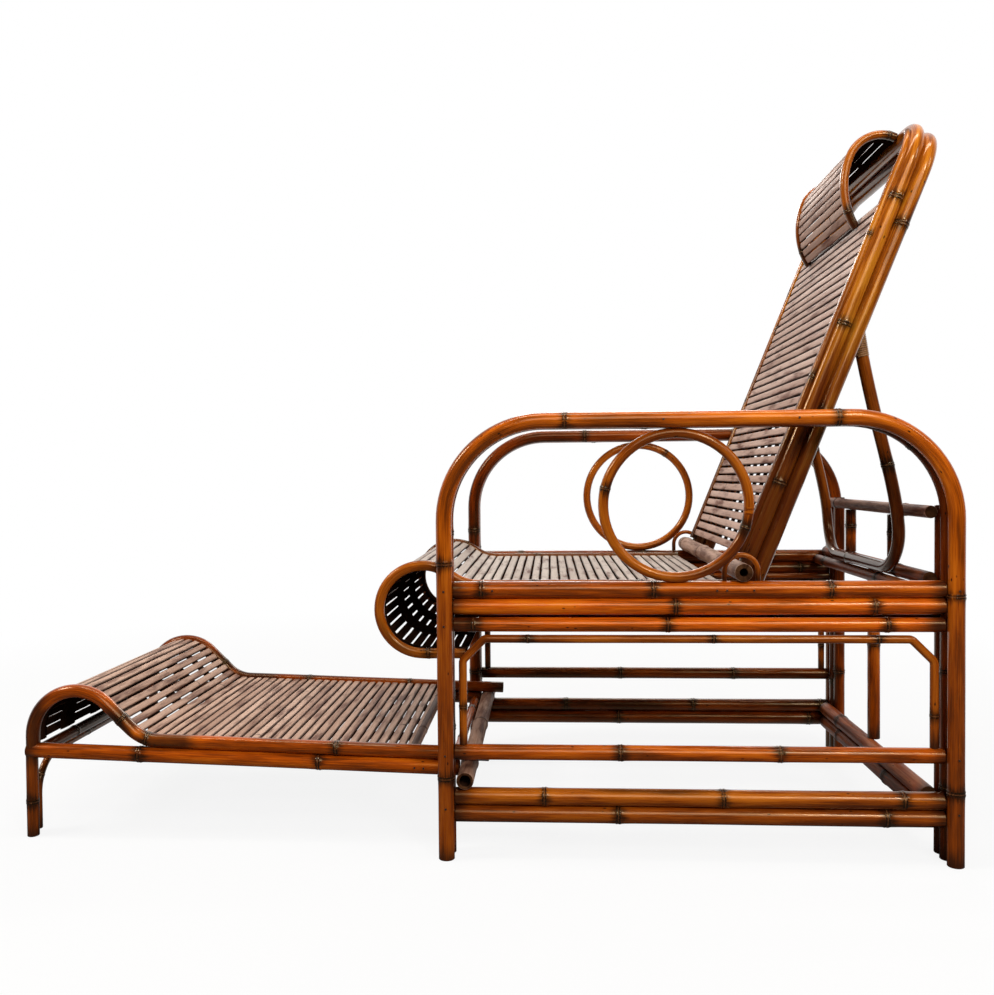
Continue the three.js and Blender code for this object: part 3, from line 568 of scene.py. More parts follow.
straight_pole("rear_strut", "base", lacquer, "dark_pole")
# The seat cross poles take the finish with painted shade.
for node in ("front_seat_cross_pole", "rear_seat_cross_pole"):
    straight_pole(node, "base", shaded, "dark_pole")
straight_pole("back_stop_rail", "base", pale_finish, "worn_pole", (0.1, 0.45))
print("straight poles", len(made), "pieces so far")

# %% [markdown]
# ## Brace and rings
# A thin cane runs up from the guide rail, cuts both corners and passes under the seat rails. Its
# corners were bent over a flame, so they are tight. The ring between arm and rail is one cane
# bent to a full circle, and its two ends meet at a knot.

# %% Brace and rings
CORNER, CORNER_BEND = 0.034, 0.012
for side, sign in SIDES:
    node = f"{side}_seat_brace"
    low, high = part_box(node)
    size = high.y - low.y
    slack = CORNER_BEND * math.tan(math.pi / 8)
    leg = high.z - size / 2 - low.z - CORNER - slack
    cut_run = CORNER * math.sqrt(2) - 2 * slack
    top_run = high.x - low.x - size - 2 * (CORNER + slack)
    route = Route((low.x + size / 2, (low.y + high.y) / 2, low.z), Z_AXIS, Y_AXIS)
    route.straight(leg).turn(CORNER_BEND, 45).straight(cut_run).turn(CORNER_BEND, 45).straight(top_run)
    route.turn(CORNER_BEND, 45).straight(cut_run).turn(CORNER_BEND, 45).straight(leg)
    start = leg + cut_run + 0.02
    knots = (0.06, start + 0.062, start + 0.35, start + 0.6, route.length - 0.05)
    pole(f"{node}_cane", "base", "cane", node, route, size, knots, rind, sides=14, step=0.006)

    node = f"{side}_arm_ring"
    low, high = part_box(node)
    size = high.y - low.y
    bend = (high.z - low.z - size) / 2
    middle = (low + high) / 2
    angle = math.radians(-8 if sign < 0 else 68)
    out = Vector((math.cos(angle), 0, math.sin(angle)))
    route = Route(middle + out * bend, Y_AXIS.cross(out), Y_AXIS).turn(bend, 360)
    pole(f"{node}_cane", "base", "cane", node, route, size, (0.02, 0.36), rind, sides=18, closed=True)
print("brace and ring cane", made[-4:])

# %% [markdown]
# ## Open tubes
# The back turns on a thick open bamboo tube, and the footrest slides on another. Their sawn
# ends show the wall and a dark hollow, so the outer skin turns in over the wall and runs back
# inside to a closed knot. The hollow is coloured with painted shade.

# %% Open tubes
DEPTH = 0.035


def open_tube(node, body, finish, wall, slim=1.0):
    route, size = straight_route(node)
    bm, grain, knot = new_pole_mesh()
    ends = sweep(bm, grain, knot, route, size, knots_along(route.length, node, 0.21), seed=node, sides=28,
                 slim=slim)
    for ring, place, inward in ((ends[0], 0.0, 1.0), (ends[1], route.length, -1.0)):
        cap = next(f for f in ring[0].link_faces if len(f.verts) == 28)
        way = route.at(place)[1] * inward
        bmesh.ops.inset_region(bm, faces=[cap], thickness=wall - 0.0012, use_even_offset=True)
        for face in {f for v in cap.verts for f in v.link_faces}:
            face.material_index = 1
        bmesh.ops.inset_region(bm, faces=[cap], thickness=0.0008)
        bmesh.ops.translate(bm, vec=way * 0.0008, verts=list(cap.verts))
        hole = bmesh.ops.extrude_discrete_faces(bm, faces=[cap])["faces"][0]
        bmesh.ops.translate(bm, vec=way * DEPTH, verts=list(hole.verts))
        # The hollow takes the finish with painted shade.
        for face in {f for v in hole.verts for f in v.link_faces}:
            face.material_index = 2
    return settle(bm, f"{node}_bamboo", body, [node], [finish, sawn_finish, painted_shade_finish])


open_tube("pivot_tube", "pivot", tube_finish, 0.0075)
open_tube("footrest_slide_tube", "footrest", tube_finish, 0.0045, 0.975)
for side, sign in SIDES:
    node = f"{side}_pivot_staple"
    low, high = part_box(node)
    size = high.y - low.y
    bend = (high.x - low.x - size) / 2
    leg = high.z - low.z - size / 2 - bend
    route = Route((low.x + size / 2, (low.y + high.y) / 2, low.z), Z_AXIS, Y_AXIS)
    route.straight(leg).turn(bend, 180).straight(leg)
    pole(f"{node}_cane", "base", "cane", node, route, size, (), rind, sides=14, step=0.004)
print("tubes and staples", made[-4:])

# %% [markdown]
# ## Slats
# A slat is a split strip of bamboo: flat below, a little crowned on top, never quite straight
# and with a knot or two. One strip is made, cut across, bevelled and bent by a little noise, then
# copied along the panel's route with its own width, twist and grain. The strips are pinned to
# thin battens that follow the same route. The battens and the slats' flat undersides are coloured
# with painted shade.

# %% Slat maker
def lengthwise(verts, length):
    """The edges that run along a strip, always in the same order."""
    edges = dict.fromkeys(e for v in verts for e in v.link_edges)
    return [e for e in edges if abs(e.verts[0].co.y - e.verts[1].co.y) > length / 2]


def strip(bm, grain, knot, matrix, width, length, thick, rng):
    """One split strip along local Y, crowned on its local -Z side, with painted shade on the other."""
    cube = bmesh.ops.create_cube(bm, size=1.0)["verts"]
    bmesh.ops.scale(bm, vec=(width, length, thick), verts=cube)
    long_edges = lengthwise(cube, length)
    rounded = bmesh.ops.bevel(bm, geom=long_edges, offset=min(width, thick) * 0.42, segments=3,
                              affect="EDGES", profile=0.5, material=-1)
    long_edges = lengthwise(rounded["verts"], length)
    bmesh.ops.subdivide_edges(bm, edges=long_edges, cuts=13, use_grid_fill=True)
    verts = [v for v in bm.verts if v[grain].length_squared == 0.0]
    # The side away from the crown takes the finish with painted shade.
    for face in {f for v in verts for f in v.link_faces}:
        if face.calc_center_median().z > -thick * 0.12:
            face.material_index = 2
    shift, lane = rng.uniform(1.0, 60.0), rng.uniform(0.0, 9.0)
    nodes = [y for y in (rng.uniform(-0.5, 0.0), rng.uniform(0.0, 0.5)) if rng.random() < 0.62]
    for v in verts:
        place = v.co.y / length
        gap = min((abs(place - n) * length for n in nodes), default=1.0)
        v[grain] = Vector((v.co.y + shift, v.co.x, v.co.z + lane))
        v[knot] = min(gap, 0.05)
        wave = noise.noise_vector(Vector((v.co.y * 13.0, shift, lane)))
        bump = 0.05 * math.exp(-((gap / 0.006) ** 2))
        v.co.x = v.co.x * (1.0 + 0.06 * wave.x + bump) + 0.0005 * wave.y
        v.co.z = v.co.z * (1.0 + 1.6 * bump) + 0.0003 * wave.z
    turn = Matrix.Rotation(rng.uniform(-0.0016, 0.0016), 4, "Z")
    turn = turn @ Matrix.Rotation(rng.uniform(-0.03, 0.03), 4, "Y")
    bmesh.ops.transform(bm, matrix=matrix @ turn, verts=verts)


def slat_places(start, end, width, pitch):
    run = end - start - width
    count = round(run / pitch) + 1
    return [start + width / 2 + run * i / (count - 1) for i in range(count)]


def slat_frame(route, distance, face):
    """Local X along the route, local Y across the chair, local Z towards the battens."""
    point, ahead = route.at(distance)
    inward = route.axis.cross(ahead) * face
    return Matrix.Translation(point) @ Matrix((ahead, inward.cross(ahead), inward)).transposed().to_4x4()


def slat_panel(name, body, node, route, start, end, width, pitch, thick, length, battens, finish,
               wider=None, face=1.0, extra=None):
    """Slats along a route. battens pairs a share of the length with a width, and wider gives
    the share by which the slat at a place is wider."""
    rng = random.Random(name)
    bm, grain, knot = new_pole_mesh()
    for distance in slat_places(start, end, width, pitch):
        share = wider((distance - start) / (end - start)) if wider else 1.0
        strip(bm, grain, knot, slat_frame(route, distance, face), width * share * rng.uniform(0.96, 1.02),
              length * rng.uniform(0.992, 1.0), thick, rng)
    deep = 0.005
    for index, (share, wide) in enumerate(battens):
        def off(mark, place=share * length):
            point, ahead = route.at(mark)
            return route.axis.cross(ahead) * face * (thick / 2 + deep / 2 - 0.0006) + Y_AXIS * place
        before = set(bm.faces)
        sweep(bm, grain, knot, route, deep, (), start, end, sides=8, step=0.01, seed=f"{name}{index}",
              flat=wide / deep, bow=off, chamfer=0.0, sag=0.0002)
        # The battens take the finish with painted shade.
        for face_made in set(bm.faces) - before:
            face_made.material_index = 1
    if extra:
        extra(bm, grain, knot)
    return settle(bm, name, body, [node], [finish, painted_shade_finish, painted_shade_finish])


# %% [markdown]
# ## Seat
# The seat lies flat behind, rises at the front and rolls over into a drum. Two thin edge poles
# carry it. The same route carries the slats and, below them, five battens that break the gaps
# between the slats into the rows of light that show in the drum.

# %% Seat
seat_low, seat_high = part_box("left_seat_edge_pole")
EDGE_SIZE = seat_high.y - seat_low.y
SLAT, PITCH, THICK = 0.0135, 0.0165, 0.006
SEAT_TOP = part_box("seat_slats")[1].z
RISE_BEND, RISE_ANGLE, ROLL_TAIL = 0.080, 38.0, 0.069
ROLL_BEND = (0.156 - EDGE_SIZE) / 2
roll_centre = seat_low.x + EDGE_SIZE / 2 + ROLL_BEND
rise_end = roll_centre + (ROLL_BEND + RISE_BEND) * math.sin(math.radians(RISE_ANGLE))
seat_flat = seat_high.x - rise_end


def seat_route(y=0.0):
    route = Route((seat_high.x, y, SEAT_TOP - THICK / 2), -X_AXIS, -Y_AXIS).straight(seat_flat)
    return route.turn(RISE_BEND, -RISE_ANGLE).turn(ROLL_BEND, 180 + RISE_ANGLE).straight(ROLL_TAIL)


for side, sign in SIDES:
    node = f"{side}_seat_edge_pole"
    low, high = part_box(node)
    route = seat_route((low.y + high.y) / 2)
    knots = (0.13, 0.30, 0.46, 0.72)
    # The far right-hand edge pole takes the dark cane finish with painted shade.
    pole(f"{node}_bamboo", "base", "lacquered_pole", node, route, EDGE_SIZE, knots,
         rind if sign < 0 else shade_painted_cane, sides=18, step=0.007, slim=1.3, flat=0.8)
slat_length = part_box("seat_slats")[1].y * 2
close_battens = [(-0.47 + 0.94 * i / 8, 0.020) for i in range(9)]
drum_battens = [(-0.475, 0.020), (-0.14, 0.078), (0.14, 0.078), (0.475, 0.020)]
slat_panel("seat_slat_panel", "base", "seat_slats", seat_route(), 0.0, seat_flat, SLAT, PITCH, THICK,
           slat_length, close_battens, seat_finish, lambda share: 1.0)
slat_panel("seat_roll_slat_panel", "base", "seat_roll_slats", seat_route(), seat_flat + PITCH - SLAT,
           seat_route().length, SLAT, PITCH, THICK, slat_length, drum_battens, seat_finish,
           lambda share: 1.06 if share < 0.42 else 0.98)
print("seat", made[-4:])

# %% [markdown]
# ## Back
# The back leans on its pivot, so its pieces are drawn from the pivot along two directions: up
# the back, and square to it towards the rear. Two hoops stand one behind the other. The front
# one ends in a fish-mouth that sits on the pivot tube.

# %% Back hoops
LEAN = math.radians(21.9)
pivot_low, pivot_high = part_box("pivot_tube")
pivot = Vector(((pivot_low.x + pivot_high.x) / 2, 0.0, (pivot_low.z + pivot_high.z) / 2))
UP = Vector((math.sin(LEAN), 0.0, math.cos(LEAN)))
REAR = Vector((math.cos(LEAN), 0.0, -math.sin(LEAN)))


def on_back(rear, y, up):
    return pivot + UP * up + REAR * rear + Y_AXIS * y


HOOP, HOOP_BEND = 0.025, 0.080
FRONT_SET, REAR_SET = 0.014, 0.0376
LEG_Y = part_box("back_front_hoop")[1].y - HOOP / 2
TOP = 0.782 - HOOP / 2
TUBE_FIT = (pivot_high.z - pivot_low.z) / 2 + 0.0004


def back_hoop(rear, foot, top):
    route = Route(on_back(rear, -LEG_Y, foot), UP, UP.cross(Y_AXIS))
    leg = top - foot - HOOP_BEND
    route.straight(leg).turn(HOOP_BEND, 90).straight(2 * (LEG_Y - HOOP_BEND)).turn(HOOP_BEND, 90)
    return route.straight(leg)


def fish_mouth(point):
    rear = (point - pivot).dot(REAR)
    return math.sqrt(max(TUBE_FIT ** 2 - rear ** 2, 0.0))


front_route = back_hoop(FRONT_SET, 0.0, TOP)
bm, grain, knot = new_pole_mesh()
MOUTH = 0.016
front_knots = (0.153, 0.422, 0.634, 1.31, 1.50, 1.78)
first, last = sweep(bm, grain, knot, front_route, HOOP, front_knots, seed="front_hoop", sides=26,
                    slim=0.99, start=MOUTH, end=front_route.length - MOUTH, chamfer=0.0)
for ring in (first, last):
    for v in ring:
        v.co -= UP * (MOUTH - fish_mouth(v.co))
settle(bm, "back_front_hoop_bamboo", "back", ["back_front_hoop"], [smoked])
REAR_FOOT, REAR_DROP = -0.015, 0.0065
rear_knots = (0.296, 0.613, 1.34, 1.58, 1.83)
pole("back_rear_hoop_bamboo", "back", "lacquered_pole", "back_rear_hoop",
     back_hoop(REAR_SET, REAR_FOOT, TOP - REAR_DROP), HOOP, rear_knots, smoked, sides=26, slim=0.99)
# The prop rod takes the finish with painted shade.
straight_pole("prop_rod", "back", shaded, "dark_pole", (0.12, 0.33), sides=16)
print("back hoops", made[-3:])

# %% [markdown]
# ## Back slats and edge strips
# Thin strips of polished cane are pinned to the inside edge of the front hoop, and the slats
# lie between them. Low on the back the slats have worn apart, so light shows in the gaps.

# %% Back slats
SLAT_X, SLAT_FOOT, slat_end = 0.0012, 0.026, 0.626
STRIP_FOOT, STRIP_RUN, STRIP_APART = 0.018, 0.670, 0.0095
back_route = Route(on_back(SLAT_X, 0.0, slat_end), -UP, -Y_AXIS).straight(slat_end - SLAT_FOOT)
back_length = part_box("back_slats")[1].y * 2
slat_panel("back_slat_panel", "back", "back_slats", back_route, 0.0, back_route.length, SLAT, 0.0172, THICK,
           back_length, [(share, 0.022) for share, _ in close_battens], back_finish,
           lambda share: 1.12 if share < 0.6 else 1.0)
for side, sign in SIDES:
    node = f"{side}_back_edge_batten"
    low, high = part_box(node)
    y = (low.y + high.y) / 2
    bm, grain, knot = new_pole_mesh()
    route = Route(on_back(-0.0018, y, STRIP_FOOT), UP, Y_AXIS).straight(STRIP_RUN)
    sweep(bm, grain, knot, route, 0.006, (0.2, 0.47), seed=node, sides=12, flat=8 / 6, chamfer=0.0005)
    bend = abs(y) + STRIP_APART - (LEG_Y - HOOP_BEND)
    outer = Route(on_back(-0.0008, y + sign * STRIP_APART, STRIP_FOOT), UP, UP.cross(Y_AXIS))
    outer.straight(TOP - HOOP_BEND - STRIP_FOOT).turn(bend, -48 * sign)
    sweep(bm, grain, knot, outer, 0.010, (0.31, 0.55), seed=f"{node}outer", sides=14, chamfer=0.0005)
    settle(bm, f"{node}_cane", "back", [node], [smoked])
print("back slats", made[-3:])

# %% [markdown]
# ## Headrest
# Two canes are bent from the top of the hoop forwards and down to the slats, and a small panel
# of slats follows them. The battens are inside the curve.

# %% Headrest
REACH, TOP_BEND, FOOT_BEND, SPLAY = 0.058, 0.054, 0.136, 0.012
cane_low, cane_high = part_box("left_headrest_cane")
CANE = cane_high.y - cane_low.y
head_front = 0.0012
rise = FOOT_BEND - REACH - (SLAT_X - THICK / 2) + 0.0003
foot_turn = math.degrees(math.acos(rise / math.hypot(FOOT_BEND, CANE / 2)) - math.atan2(CANE / 2, FOOT_BEND))


def head_route(y):
    route = Route(on_back(head_front, y, TOP - 0.0017), -REAR, -Y_AXIS)
    return route.straight(head_front + REACH - TOP_BEND).turn(TOP_BEND, 90).turn(FOOT_BEND, foot_turn)


for side, sign in SIDES:
    node = f"{side}_headrest_cane"
    low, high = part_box(node)
    route = head_route((low.y + high.y) / 2 + sign * SPLAY).straight(0.004)
    pole(f"{node}_bent", "back", "cane", node, route, CANE, (0.012, 0.185), rind, sides=16, step=0.006)
head_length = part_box("headrest_slats")[1].y * 2 + 2 * SPLAY
head_end = head_route(0.0).length - 0.0005
slat_panel("headrest_slat_panel", "back", "headrest_slats", head_route(0.0), -0.004, head_end,
           0.012, 0.0142, 0.005, head_length, [(-0.46, 0.012), (0.0, 0.02), (0.46, 0.012)],
           back_finish, lambda share: 1.06)
print("headrest", made[-3:])

# %% [markdown]
# ## Prop
# The prop is one pole bent to a U. It hangs on the rod between the rear hoop's legs and bows a
# little to the rear. Split rattan is wound round each top end, where the pole was notched over
# the rod.

# %% Prop
PROP, PROP_BEND = 0.020, 0.070
rod_low, rod_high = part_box("prop_rod")
rod = Vector(((rod_low.x + rod_high.x) / 2, 0.0, (rod_low.z + rod_high.z) / 2))
rail_low, rail_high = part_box("rear_seat_cross_rail")
foot = Vector((rail_low.x - 0.0005 - PROP / 2, 0.0, (rail_low.z + rail_high.z) / 2 + 0.005))
prop_length = (foot - rod).length
DOWN = (foot - rod).normalized()
OUT = Y_AXIS.cross(DOWN) * -1.0
prop_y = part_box("prop_frame")[1].y - PROP / 2
drop = 0.0075
prop_leg = prop_length - drop - PROP_BEND
prop_route = Route(rod + DOWN * drop - Y_AXIS * prop_y, DOWN, DOWN.cross(Y_AXIS))
prop_route.straight(prop_leg).turn(PROP_BEND, 90).straight(2 * (prop_y - PROP_BEND)).turn(PROP_BEND, 90)
prop_route.straight(prop_leg)


def prop_bow(mark):
    fall = max(0.0, (prop_route.at(mark)[0] - rod).dot(DOWN)) / prop_length
    return OUT * 0.014 * math.sin(math.pi * min(fall, 1.0) ** 2.2)


# The prop takes the dark cane finish with painted shade.
pole("prop_frame_bamboo", "prop", "lacquered_pole", "prop_frame", prop_route, PROP,
     (0.235, 0.62, prop_route.length - 0.2), shade_painted_cane, sides=22, bow=prop_bow, step=0.009)

# %% [markdown]
# A winding is a helix of flat rattan. The same sweep makes it: the route's own frame at each
# distance is turned round the pole.

# %% Rattan winding
f = Finish("rattan_winding")
grain_in = f.attribute("grain", "Vector")
strand = f.noise(f.stretch(grain_in, (25.0, 900.0, 900.0)), detail=3.0)
blot = f.noise(f.stretch(grain_in, (12.0, 90.0, 90.0)), detail=2.0)
bark = f.blend(f.step(strand * 0.6 + blot * 0.4, 0.3, 0.7), (0.16, 0.055, 0.014), (0.45, 0.22, 0.075))
ridges = f.add("ShaderNodeBump", {}, {"Strength": 0.3, "Distance": 0.0004, "Height": strand})
rattan = f.surface(base_color=bark, roughness=0.34 + strand * 0.2, coat_weight=0.4 + blot * 0.2,
                   normal=ridges)


class Winding:
    """A helix round a straight pole, with the same two calls as a route."""

    def __init__(self, start, ahead, radius, pitch, turns):
        self.start, self.ahead = Vector(start), Vector(ahead).normalized()
        self.radius, self.pitch = radius, pitch
        self.side = self.ahead.orthogonal().normalized()
        self.length = turns * math.hypot(2 * math.pi * radius, pitch)
        self.axis = self.ahead
        self.runs = [(0.0, self.length, None, None, radius * 1.6, 1.0)]

    def at(self, distance):
        angle = distance / math.hypot(self.radius, self.pitch / (2 * math.pi))
        out = Matrix.Rotation(angle, 3, self.ahead) @ self.side
        point = self.start + out * self.radius + self.ahead * self.pitch * angle / (2 * math.pi)
        heading = self.ahead.cross(out) * self.radius + self.ahead * self.pitch / (2 * math.pi)
        return point, heading.normalized()

    def frame(self, distance):
        point, heading = self.at(distance)
        out = (point - self.start - self.ahead * (point - self.start).dot(self.ahead)).normalized()
        return Matrix.Translation(point) @ Matrix((out, heading.cross(out), heading)).transposed().to_4x4()


for side, sign in SIDES:
    bm, grain, knot = new_pole_mesh()
    top = rod + DOWN * 0.012 + Y_AXIS * sign * prop_y
    coil = Winding(top, DOWN, PROP / 2 + 0.0009, 0.0033, 15)
    strand_cut = dict(sides=6, step=0.004, flat=0.6, chamfer=0.0, sag=0.0)
    sweep(bm, grain, knot, coil, 0.0030, (), seed=f"{side}coil", **strand_cut)
    saddle = Winding(rod + Y_AXIS * sign * (prop_y - 0.012), Y_AXIS, 0.0079, 0.0032, 8)
    sweep(bm, grain, knot, saddle, 0.0029, (), seed=f"{side}saddle", **strand_cut)
    settle(bm, f"{side}_prop_winding", "prop", [], [rattan])
print("prop", made[-3:])

# %% [markdown]
# ## Footrest
# The footrest's rails slope a little to the slide tube. The upper pair rises to a hump at the
# front, dips and runs flat, and carries the slats; the last slat is a round pole.

# %% Footrest rails
low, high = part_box("left_footrest_lower_rail")
FOOT_RAIL = high.y - low.y
slope = math.atan2((high.z - low.z) - FOOT_RAIL, high.x - low.x)
RAIL_CUT, LEG_TENON = 0.004, 0.008
# The far right-hand lower rail and leg of the footrest take the finish with painted shade.
for side, sign in SIDES:
    node = f"{side}_footrest_lower_rail"
    low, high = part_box(node)
    y = (low.y + high.y) / 2
    ahead = Vector((math.cos(slope), 0.0, -math.sin(slope)))
    half = FOOT_RAIL / 2
    start = Vector((low.x + half * math.sin(slope), y, high.z - half * math.cos(slope)))
    run = (high.x - low.x - 2 * half * math.sin(slope)) / math.cos(slope)
    route = Route(start, ahead, Y_AXIS).straight(run)
    knots = (0.197, 0.50) if sign < 0 else (0.24, 0.53)
    pole(f"{node}_bamboo", "footrest", "lacquered_pole", node, route, FOOT_RAIL, knots,
         lacquer if sign < 0 else shaded, sides=24, start=RAIL_CUT, slim=1.05)
    node = f"{side}_footrest_leg"
    route, size = straight_route(node)
    pole(f"{node}_bamboo", "footrest", "lacquered_pole", node, route.straight(LEG_TENON), size, (0.058,),
         finish=ruddy if sign < 0 else shaded, sides=22, slim=0.91)

UPPER = 0.018
HUMP, FALL_ANGLE, FALL, FOOT_CURVE = 0.075, 45.0, 0.057, 0.070
up_low, up_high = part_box("left_footrest_upper_rail")
hump_start = Vector((up_low.x + UPPER / 2 + 0.0024, 0.0, 0.1583))
slope_degrees = math.degrees(slope)
bend_height = up_high.z - UPPER / 2 - HUMP
flat_start = Route(hump_start, Z_AXIS, -Y_AXIS).straight(bend_height - hump_start.z)
flat_start.turn(HUMP, -90 - FALL_ANGLE).straight(FALL).turn(FOOT_CURVE, FALL_ANGLE - slope_degrees)
flat_start = flat_start.last[0]


def hump_route(y=0.0, deeper=0.0):
    start = hump_start + Y_AXIS * y - Z_AXIS * deeper
    route = Route(start, Z_AXIS, -Y_AXIS).straight(bend_height - start.z)
    route.turn(HUMP, -90 - FALL_ANGLE).straight(FALL).turn(FOOT_CURVE, FALL_ANGLE - slope_degrees)
    return route.straight((up_high.x - UPPER / 2 * math.sin(slope) - flat_start.x) / math.cos(slope))


# The far right-hand upper rail takes the finish with painted shade; the listed stretches of both upper rails
# are darkened like the ends.
for side, sign in SIDES:
    node = f"{side}_footrest_upper_rail"
    low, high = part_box(node)
    knots = (0.235, 0.29, 0.61) if sign < 0 else (0.24, 0.44, 0.66)
    pole(f"{node}_bamboo", "footrest", "lacquered_pole", node, hump_route((low.y + high.y) / 2, 0.010),
         UPPER, knots, lacquer if sign < 0 else shaded, sides=20, step=0.008, slim=1.24,
         burns=((0.0, 0.07), (0.225, 0.255), (0.285, 0.355)))
print("footrest rails", made[-6:], "hump", [round(v, 4) for v in hump_route().last[0]])

# %% [markdown]
# ## Footrest slats and cross pieces
# The slats follow the upper rails over the hump with their crown up, so they use the same slat
# maker with the battens on the other side. A round pole closes the panel, and straight bars, a
# tie bar and a bent cane hold the frame square.

# %% Footrest slats and cross pieces
TAIL, TUBE_ROOM, FOOT_THICK = 0.034, 0.092, 0.0078
panel_end = hump_route().length - TAIL - TUBE_ROOM
foot_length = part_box("footrest_slats")[1].y * 2


def end_slat(bm, grain, knot):
    point = hump_route().at(panel_end)[0]
    route = Route(point - Y_AXIS * foot_length / 2, Y_AXIS, Z_AXIS).straight(foot_length)
    sweep(bm, grain, knot, route, 0.016, (0.11, 0.34), seed="end_slat", sides=16)


foot_battens = [(-0.475, 0.02), (-0.3, 0.05), (-0.08, 0.04), (0.13, 0.05), (0.32, 0.03), (0.475, 0.02)]
slat_panel("footrest_slat_panel", "footrest", "footrest_slats", hump_route(), 0.0, panel_end, SLAT,
           PITCH, FOOT_THICK, foot_length, foot_battens, foot_finish,
           lambda share: 1.0 if share < 0.45 else 1.05, -1.0, end_slat)
# The front cross bar under the slats takes the finish with painted shade, and its darker stretch is painted
# shade too.
straight_pole("footrest_front_cross_bar", "footrest", shaded, "lacquered_pole", (0.1, 0.33), sides=18,
              slim=1.08, burns=((0.02, 0.3),))
straight_pole("footrest_tie_bar", "footrest", lacquer, "lacquered_pole", (0.15, 0.36), sides=18)
low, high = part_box("footrest_arch_brace")
ARCH = high.x - low.x
ARCH_BEND = 0.060
leg = high.z - ARCH / 2 - low.z - ARCH_BEND
route = Route(((low.x + high.x) / 2, low.y + ARCH / 2, low.z), Z_AXIS, -X_AXIS)
route.straight(leg).turn(ARCH_BEND, 90).straight(high.y - low.y - ARCH - 2 * ARCH_BEND).turn(ARCH_BEND, 90)
pole("footrest_arch_brace_cane", "footrest", "cane", "footrest_arch_brace", route.straight(leg), ARCH,
     (0.09, 0.26, 0.45), rind, sides=14, step=0.008)
print("footrest", made[-4:])

# %% [markdown]
# ## Pins
# Bamboo nails hold the joints. Their heads are small dark discs that stand a hair above the
# lacquer on the outer faces of the arms and rails.

# %% Pins
f = Finish("pin_heads")
pin_place = f.add("ShaderNodeTexCoord", out="Object")
end_grain = f.noise(f.stretch(pin_place, (900.0, 900.0, 900.0)), detail=2.0)
pin_skin = f.blend(f.step(end_grain, 0.35, 0.65), (0.01, 0.004, 0.003), (0.06, 0.02, 0.008))
pin_finish = f.surface(base_color=pin_skin, roughness=0.3 + end_grain * 0.2,
                       coat_weight=0.5, coat_roughness=0.1)
SEAT_JOINT, FLOOR_JOINTS = 0.421, (0.165, 0.082)
FRONT_LEG, REAR_LEG, ARM_TOP = -0.0367, 0.7413, 0.684
pins = {
    "base": [*(("outer_arm_hoop", x, ARM_TOP) for x in (0.302, 0.505)),
             *(("upper_seat_rail", x, SEAT_JOINT) for x in (0.384, 0.399, 0.440, 0.038)),
             *(("outer_arm_hoop", FRONT_LEG, z) for z in (SEAT_JOINT, 0.367, *FLOOR_JOINTS)),
             *(("outer_arm_hoop", REAR_LEG, z) for z in (SEAT_JOINT, *FLOOR_JOINTS))],
    "footrest": [("footrest_lower_rail", x, None) for x in (-0.095, -0.080)],
}
PIN_SUNK, PIN_PROUD = -0.0013, 0.0007
for side, sign in SIDES:
    for body, heads in pins.items():
        bm = bmesh.new()
        for node, x, z in heads:
            low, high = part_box(f"{side}_{node}")
            face = high.y if sign > 0 else low.y
            if z is None:
                share = (x - low.x) / (high.x - low.x)
                z = (high.z - FOOT_RAIL / 2) * (1 - share) + (low.z + FOOT_RAIL / 2) * share
            head = bmesh.ops.create_cone(bm, cap_ends=True, segments=14, radius1=0.0021,
                                         radius2=0.0015, depth=0.0024)
            turn = Matrix.Rotation(math.radians(-90 * sign), 4, "X")
            rise = PIN_SUNK if "hoop" in node else PIN_PROUD
            place = Matrix.Translation((x, face + sign * rise, z))
            bmesh.ops.transform(bm, matrix=place @ turn, verts=head["verts"])
        settle(bm, f"{side}_{body}_pins", body, [], [pin_finish])
print("pins", made[-4:])

# %% [markdown]
# ## Stage, light and camera
# The chair stands on a plain pale floor in front of white. The floor and the world are white to
# the camera, and to shiny skin that looks towards the rear, yet the floor keeps a soft shadow. A
# floor that was white to every reflection laid a grey veil on the poles, so in front it is dark.

# %% Stage
def white_seen(f, place, low, high):
    """Camera rays, and with them the glossy and transmitted rays that meet the rear side."""
    rays, glossy, passed = (f.add("ShaderNodeLightPath", out=f"Is {kind} Ray")
                            for kind in ("Camera", "Glossy", "Transmission"))
    behind = f.step(f.add("ShaderNodeSeparateXYZ", {}, {0: place}, out="Y"), low, high)
    return rays, f.add("ShaderNodeMath", {"operation": "MINIMUM"},
                       {0: rays + (glossy + passed) * behind, 1: 1.0})


def white_stage(name, keep_shadow):
    f = Finish(name)
    place = f.add("ShaderNodeTexCoord", out="Object")
    rays, seen = white_seen(f, place, -0.3, 0.8)
    bounce = f.add("ShaderNodeBsdfDiffuse", {}, {"Color": (0.13, 0.13, 0.13, 1.0)})
    paper = f.add("ShaderNodeBsdfDiffuse", {}, {"Color": (0.8, 0.8, 0.8, 1.0)})
    shade = f.add("ShaderNodeMixShader", {}, {0: rays, 1: bounce, 2: paper})
    glow = f.add("ShaderNodeEmission", {}, {"Color": (1.0, 1.0, 1.0, 1.0), "Strength": 1.0})
    away = f.add("ShaderNodeVectorMath", {"operation": "LENGTH"}, {0: place}, out="Value")
    share = seen * (keep_shadow + (1.0 - keep_shadow) * f.step(away, 1.0, 2.6))
    mixed = f.add("ShaderNodeMixShader", {}, {0: share, 1: shade, 2: glow})
    f.add("ShaderNodeOutputMaterial", {}, {"Surface": mixed})
    return f.material


